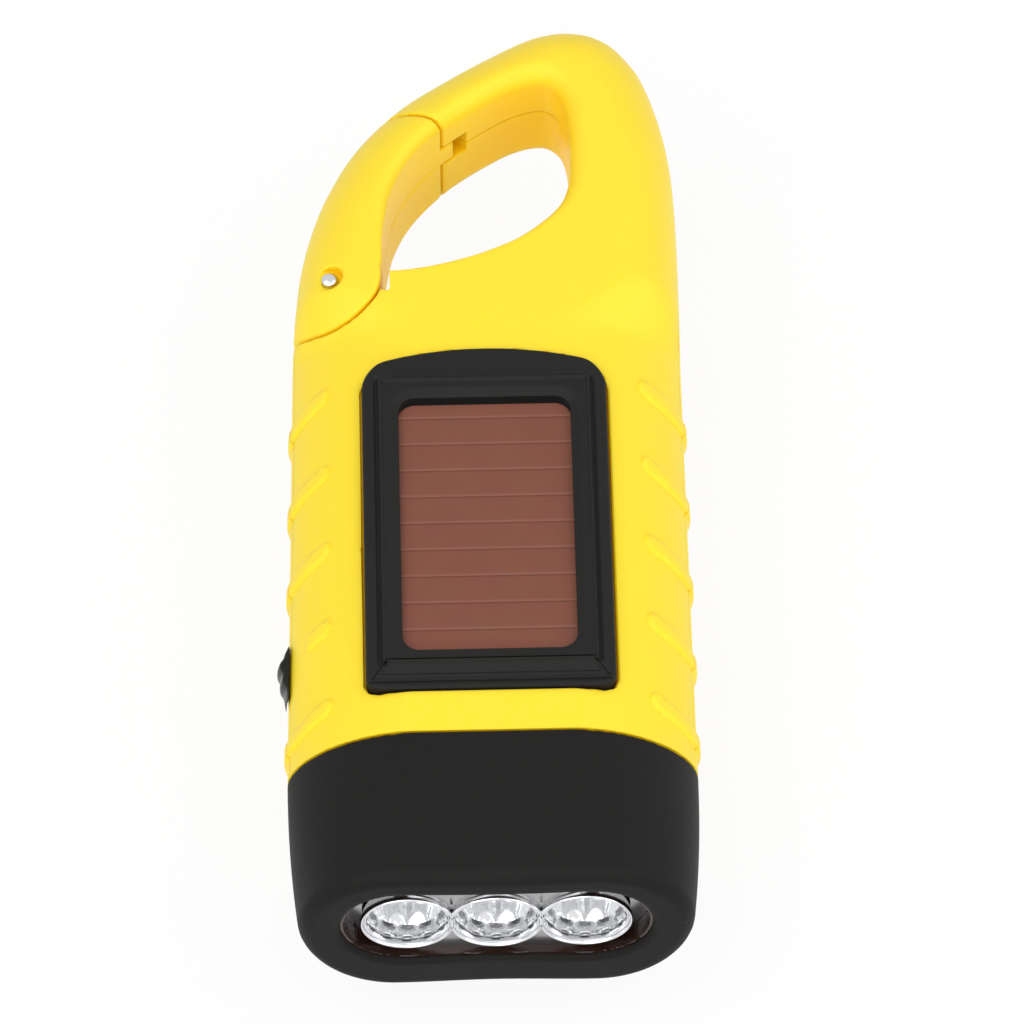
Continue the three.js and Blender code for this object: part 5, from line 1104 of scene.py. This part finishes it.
def make_cup(place, x):
    """Plated cup with a stepped rim and rows of petals pressed into its bowl."""
    depths = np.arange(BOWL_DEPTHS[0], BOWL_DEPTHS[-1], BOWL_STEP)
    bowl = list(zip(np.interp(depths, BOWL_DEPTHS, BOWL_RADII), depths))
    first, last = len(CUP_RIM), len(CUP_RIM) + len(bowl)

    def petals(k, turn):
        if not first <= k < last:
            return 1.0
        row, share = divmod((k - first) * BOWL_STEP / PETAL_LENGTH, 1.0)
        rise = math.sin(math.pi * share) ** PETAL_POWER
        return 1.0 - PETAL_DEPTH * rise * abs(math.cos(turn * PETALS + row * math.pi / 2))

    cup = turned("cup_" + place, CUP_RIM + bowl + CUP_BACK, RIM_Y, x, 144, 38.0, petals)
    piece(cup, "housing", "chrome_reflector", chrome, *(["reflector"] if place == "middle" else []))


def make_optics():
    """Plated reflector with three cups, the domed lenses over them and the LEDs inside."""
    front = [(0.0, LENS_TOP)] + dome(LENS_RADIUS, LENS_TOP, LENS_RISE, np.linspace(0.15, math.pi / 2.05, 10))
    bulb = dome(LED_RADIUS, -LED_HEIGHT, LED_RADIUS, np.linspace(0, math.pi / 2, 9))
    for place, x in LENS_PLACES.items():
        make_cup(place, x)
        glass = turned("lens_skin_" + place, front + LENS_BACK, RIM_Y, x, 96, 40.0)
        piece(glass, "housing", "clear_lens", lens_clear, "lens_" + place)
        led = turned("led_skin_" + place, bulb + LED_FLANGE, LED_FOOT_Y, x, 48)
        piece(led, "housing", "led_body", led_clear, "led_" + place)


# Plate between the cups, sunk at both ends, with a T-shaped mark in each gap.
PLATE_FRONT_Y = RIM_Y + 0.7
PLATE_SINK = 1.6
PLATE_SINK_X = 9.5
PLATE_SINK_WIDTH = 4.0
PLATE_THICK = 1.2
PLATE_MARGIN = 1.2
PLATE_EDGE = 0.2
PLATE_HOLE = 5.6
MARK_LINE = 0.16
MARK_DEPTH = 0.5
MARK_CORNER = 0.1
STEM_Z, STEM_HALF = 29.2, 2.1
BAR_Z, BAR_HALF = 30.3, 1.7


def plate_field(x, y, z):
    reach = np.maximum(np.abs(x) - OPENING_REACH, 0)
    outline = np.hypot(reach, z - OPENING_Z) - OPENING_RADIUS - PLATE_MARGIN
    half = PLATE_THICK / 2
    deep = PLATE_FRONT_Y + half + PLATE_SINK * smooth((np.abs(x) - PLATE_SINK_X) / PLATE_SINK_WIDTH)
    part = meet(outline, np.abs(y - deep) - half, PLATE_EDGE)
    for place in LENS_PLACES.values():
        part = np.maximum(part, PLATE_HOLE - np.hypot(x - place, z - LENS_Z))
    for place in (-LENS_PITCH / 2, LENS_PITCH / 2):
        stem = round_box(x - place, z - STEM_Z, MARK_LINE, STEM_HALF, MARK_CORNER)
        bar = round_box(x - place, z - BAR_Z, BAR_HALF, MARK_LINE, MARK_CORNER)
        mark = np.maximum(np.minimum(stem, bar), y - PLATE_FRONT_Y - MARK_DEPTH)
        part = np.maximum(part, -mark)
    return part


def make_plate():
    margin = PLATE_MARGIN + 0.3
    carved(
        "reflector_plate", plate_field, (-21, PLATE_FRONT_Y, OPENING_LOW_Z - margin),
        (21, PLATE_FRONT_Y + PLATE_THICK + PLATE_SINK, OPENING_HIGH_Z + margin),
        PLATE_STEP, "housing", "chrome_reflector", plate_grey,
    )


LINER_DEPTH = 2.6
LINER_Y = HEAD_Y + 0.7 + LINER_DEPTH / 2
LINER_INSET = 0.12
LINER_HALF = 0.22
LINER_EDGE = 0.1


def liner_field(x, y, z):
    wall = np.abs(opening(x, z) + LINER_INSET) - LINER_HALF
    return meet(wall, np.abs(y - LINER_Y) - LINER_DEPTH / 2, LINER_EDGE)


def make_liner():
    """Glossy wall of the lens opening, a thin sheet over the head's own wall. Its gloss is real and its brown
    tint is painted reflection.
    """
    carved(
        "opening_liner_painted_reflection", liner_field, (-20, LINER_Y - LINER_DEPTH / 2, OPENING_LOW_Z - 0.5),
        (20, LINER_Y + LINER_DEPTH / 2, OPENING_HIGH_Z + 0.5),
        LINER_STEP, "housing", "black_head", liner_painted_reflection,
    )


CELL_TOP_Z = 35.4
CELL_BELOW, CELL_ABOVE = 0.1, 0.06
CELL_LOW_Y, CELL_HIGH_Y = WINDOW_LOW_Y - 0.6, WINDOW_HIGH_Y - 0.45
CELL_HALF = WINDOW_HALF + 0.15
CELL_CORNER = 2.3
CELL_EASE = 0.05


def make_solar():
    """Bezel and the face of the cell in its window."""
    carved(
        "bezel_skin", bezel_field,
        (-16, BEZEL_LOW_Y, BEZEL_SEAT_Z + GAP), (16, BEZEL_TOP_Y, BEZEL_FRONT_Z + 0.1),
        BEZEL_STEP, "housing", "black_bezel", bezel_black, "solar_bezel", sharp=28.0,
    )
    across = CELL_HALF - CELL_CORNER
    low, high = CELL_LOW_Y + CELL_CORNER, CELL_HIGH_Y - CELL_CORNER
    outline = []
    for x, y, start in ((across, low, 270), (across, high, 0), (-across, high, 90), (-across, low, 180)):
        outline += arc((x, y), CELL_CORNER, start, start + 90, 10)
    face = plate("cell_face", outline, CELL_TOP_Z - CELL_BELOW, CELL_TOP_Z + CELL_ABOVE, CELL_EASE)
    piece(face, "housing", "solar", solar_brown)


def make_controls():
    """Switch cap, crank and the knob that folds into it."""
    carved(
        "switch_skin", cap_field,
        (-HALF_WIDTH - 2.0, CAP_Y - CAP_LENGTH / 2, CAP_Z - CAP_HEIGHT / 2),
        (-HALF_WIDTH + 3.6, CAP_Y + CAP_LENGTH / 2, CAP_Z + CAP_HEIGHT / 2),
        CAP_STEP, "switch", "black_bezel", cap_black, "switch_cap",
    )
    carved(
        "crank_skin", crank_field, (-HUB_RADIUS, HINGE[1] - ARM_TIP_RADIUS, 0),
        (HUB_RADIUS, HUB[1] + HUB_RADIUS, ARM_TOP_Z),
        CRANK_STEP, "crank", "black_head", crank_black, "crank_arm",
    )
    low = HINGE[1] + KNOB_START
    carved(
        "knob_skin", knob_field, (-KNOB_RADIUS, low, KNOB_Z - KNOB_RADIUS),
        (KNOB_RADIUS, low + KNOB_LENGTH, KNOB_Z + KNOB_RADIUS),
        KNOB_STEP, "grip", "black_head", crank_black, "knob_grip",
    )


PIN_LOOK_RADIUS = 1.05
PIN_LOW_Z = RING_BACK_Z + 1.45
PIN_HIGH_Z = PIN_FACE_Z - PIN_RECESS_DEPTH + 0.45
PIN_FOOT_RISE = 0.24
PIN_HEAD_RISE = 0.4


def make_pin():
    """Gate pin with domed ends."""
    turns = np.linspace(0.3, math.pi / 2, 6)
    foot, head = PIN_LOW_Z - PIN_FOOT_RISE, PIN_HIGH_Z + PIN_HEAD_RISE
    profile = [(0.0, foot)] + dome(PIN_LOOK_RADIUS, foot, PIN_FOOT_RISE, turns)
    profile += dome(PIN_LOOK_RADIUS, head, -PIN_HEAD_RISE, turns[::-1]) + [(0.0, head)]
    points, faces = lathe(profile, (0, 0), 40)
    points = [(PIVOT[0] + x, PIVOT[1] + z, y) for x, y, z in points]
    piece(welded("pin_skin", points, faces), "housing", "steel", steel, "gate_pin")


# Looks of the pieces that show as the model has them.
NODES_BY_LOOK = [
    (crank_black, ["knob_stem"]),
    (steel, [
        "crank_screw", "knob_hinge_pin", "gate_spring", "gear_plate", "second_axle", "third_axle",
        "rotor_shaft", "housing_screw_1", "housing_screw_2", "housing_screw_3", "housing_screw_4",
    ]),
    (gear_white, ["crank_axle", "crank_gear", "second_gear", "third_gear", "rotor_pinion", "switch_slider"]),
    (cap_black, ["switch_body"]),
    (board_green, ["led_board", "main_board"]),
    (cell_sleeve, ["battery_cell_1", "battery_cell_2", "battery_cell_3"]),
    (magnet_grey, ["rotor_magnet"]),
    (yoke_steel, ["stator_yoke"]),
    (copper, ["stator_coil"]),
    (sheet_black, ["solar_cell"]),
]

make_shells()
make_head()
make_solar()
make_optics()
make_plate()
make_liner()
make_controls()
make_pin()
for look, names in NODES_BY_LOOK:
    for node in names:
        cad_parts[node].data.materials.clear()
        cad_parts[node].data.materials.append(look)

# Floor, lights and world.
FLOOR_SIZE = 4.0
FLOOR_DROP = 0.05
FLOOR_CLEAR = 0.9
FLOOR_WHITE = 0.9
WORLD_LIGHT = 0.42
LIGHT_AIM = Vector((0, 0, 0.02))


def sight(nodes, links):
    """One for the rays that show the background: seen straight, mirrored or through glass."""
    path = add_node(nodes, "LightPath")
    before, both = add_node(nodes, "Math"), add_node(nodes, "Math", use_clamp=True)
    wire(
        links, (path, "Is Camera Ray", before, 0), (path, "Is Glossy Ray", before, 1),
        (before, 0, both, 0), (path, "Is Transmission Ray", both, 1),
    )
    return both.outputs[0]


def make_floor():
    """Pale floor that takes the shadow and lets the white world through, so the folded-out knob shows."""
    bpy.ops.mesh.primitive_plane_add(size=FLOOR_SIZE, location=(0, 0, -FLOOR_DROP * MM))
    floor = bpy.context.object
    floor.name = "floor"
    material = bpy.data.materials.new("pale_floor")
    material.use_nodes = True
    nodes, links = material.node_tree.nodes, material.node_tree.links
    shader = nodes["Principled BSDF"]
    shader.inputs["Base Color"].default_value = (*[FLOOR_WHITE] * 3, 1)
    shader.inputs["Roughness"].default_value = 0.8
    clear = add_node(nodes, "BsdfTransparent")
    seen = add_node(nodes, "Math", {1: FLOOR_CLEAR}, operation="MULTIPLY")
    blend = add_node(nodes, "MixShader")
    links.new(sight(nodes, links), seen.inputs[0])
    wire(
        links, (seen, 0, blend, 0), (shader, 0, blend, 1), (clear, 0, blend, 2),
        (blend, 0, nodes["Material Output"], "Surface"),
    )
    floor.data.materials.append(material)


def make_world():
    world = bpy.data.worlds.new("studio")
    bpy.context.scene.world = world
    world.use_nodes = True
    nodes, links = world.node_tree.nodes, world.node_tree.links
    back = nodes["Background"]
    back.inputs["Color"].default_value = (1, 1, 1, 1)
    level = add_node(nodes, "Math", {1: 1.0 - WORLD_LIGHT, 2: WORLD_LIGHT}, operation="MULTIPLY_ADD")
    links.new(sight(nodes, links), level.inputs[0])
    wire(links, (level, 0, back, "Strength"))


def aim(thing, place, direction):
    thing.location = place
    thing.rotation_mode = "QUATERNION"
    thing.rotation_quaternion = direction.to_track_quat("-Z", "Y")
    bpy.context.scene.collection.objects.link(thing)


def make_light(name, place, size, watts):
    data = bpy.data.lights.new(name, "AREA")
    data.shape = "RECTANGLE"
    data.size, data.size_y = size
    data.energy = watts
    aim(bpy.data.objects.new(name, data), place, LIGHT_AIM - Vector(place))


make_floor()
make_world()
make_light("key", (-0.35, -0.25, 0.7), (0.9, 0.9), 4.45)
make_light("fill", (0.5, -0.1, 0.5), (0.7, 0.9), 2.5)
make_light("front", (0.05, -0.8, 0.42), (0.7, 0.3), 1.5)

# Camera at the photograph's angle.
CAMERA_ELEVATION = math.radians(56.5)
CAMERA_AZIMUTH = math.radians(-1.36)
CAMERA_DISTANCE = 0.96655
CAMERA_TARGET = Vector((0.00314, -0.01418, 0.03775))
CAMERA_LENS = 269.0


def make_camera():
    data = bpy.data.cameras.new("photo_camera")
    data.lens = CAMERA_LENS
    data.sensor_width = 36.0
    data.clip_start, data.clip_end = 0.05, 20.0
    camera = bpy.data.objects.new("photo_camera", data)
    flat = math.cos(CAMERA_ELEVATION)
    back = Vector((
        math.sin(CAMERA_AZIMUTH) * flat, -math.cos(CAMERA_AZIMUTH) * flat, math.sin(CAMERA_ELEVATION),
    ))
    aim(camera, CAMERA_TARGET + back * CAMERA_DISTANCE, -back)
    bpy.context.scene.camera = camera


make_camera()
bpy.context.scene.view_settings.view_transform = "Standard"
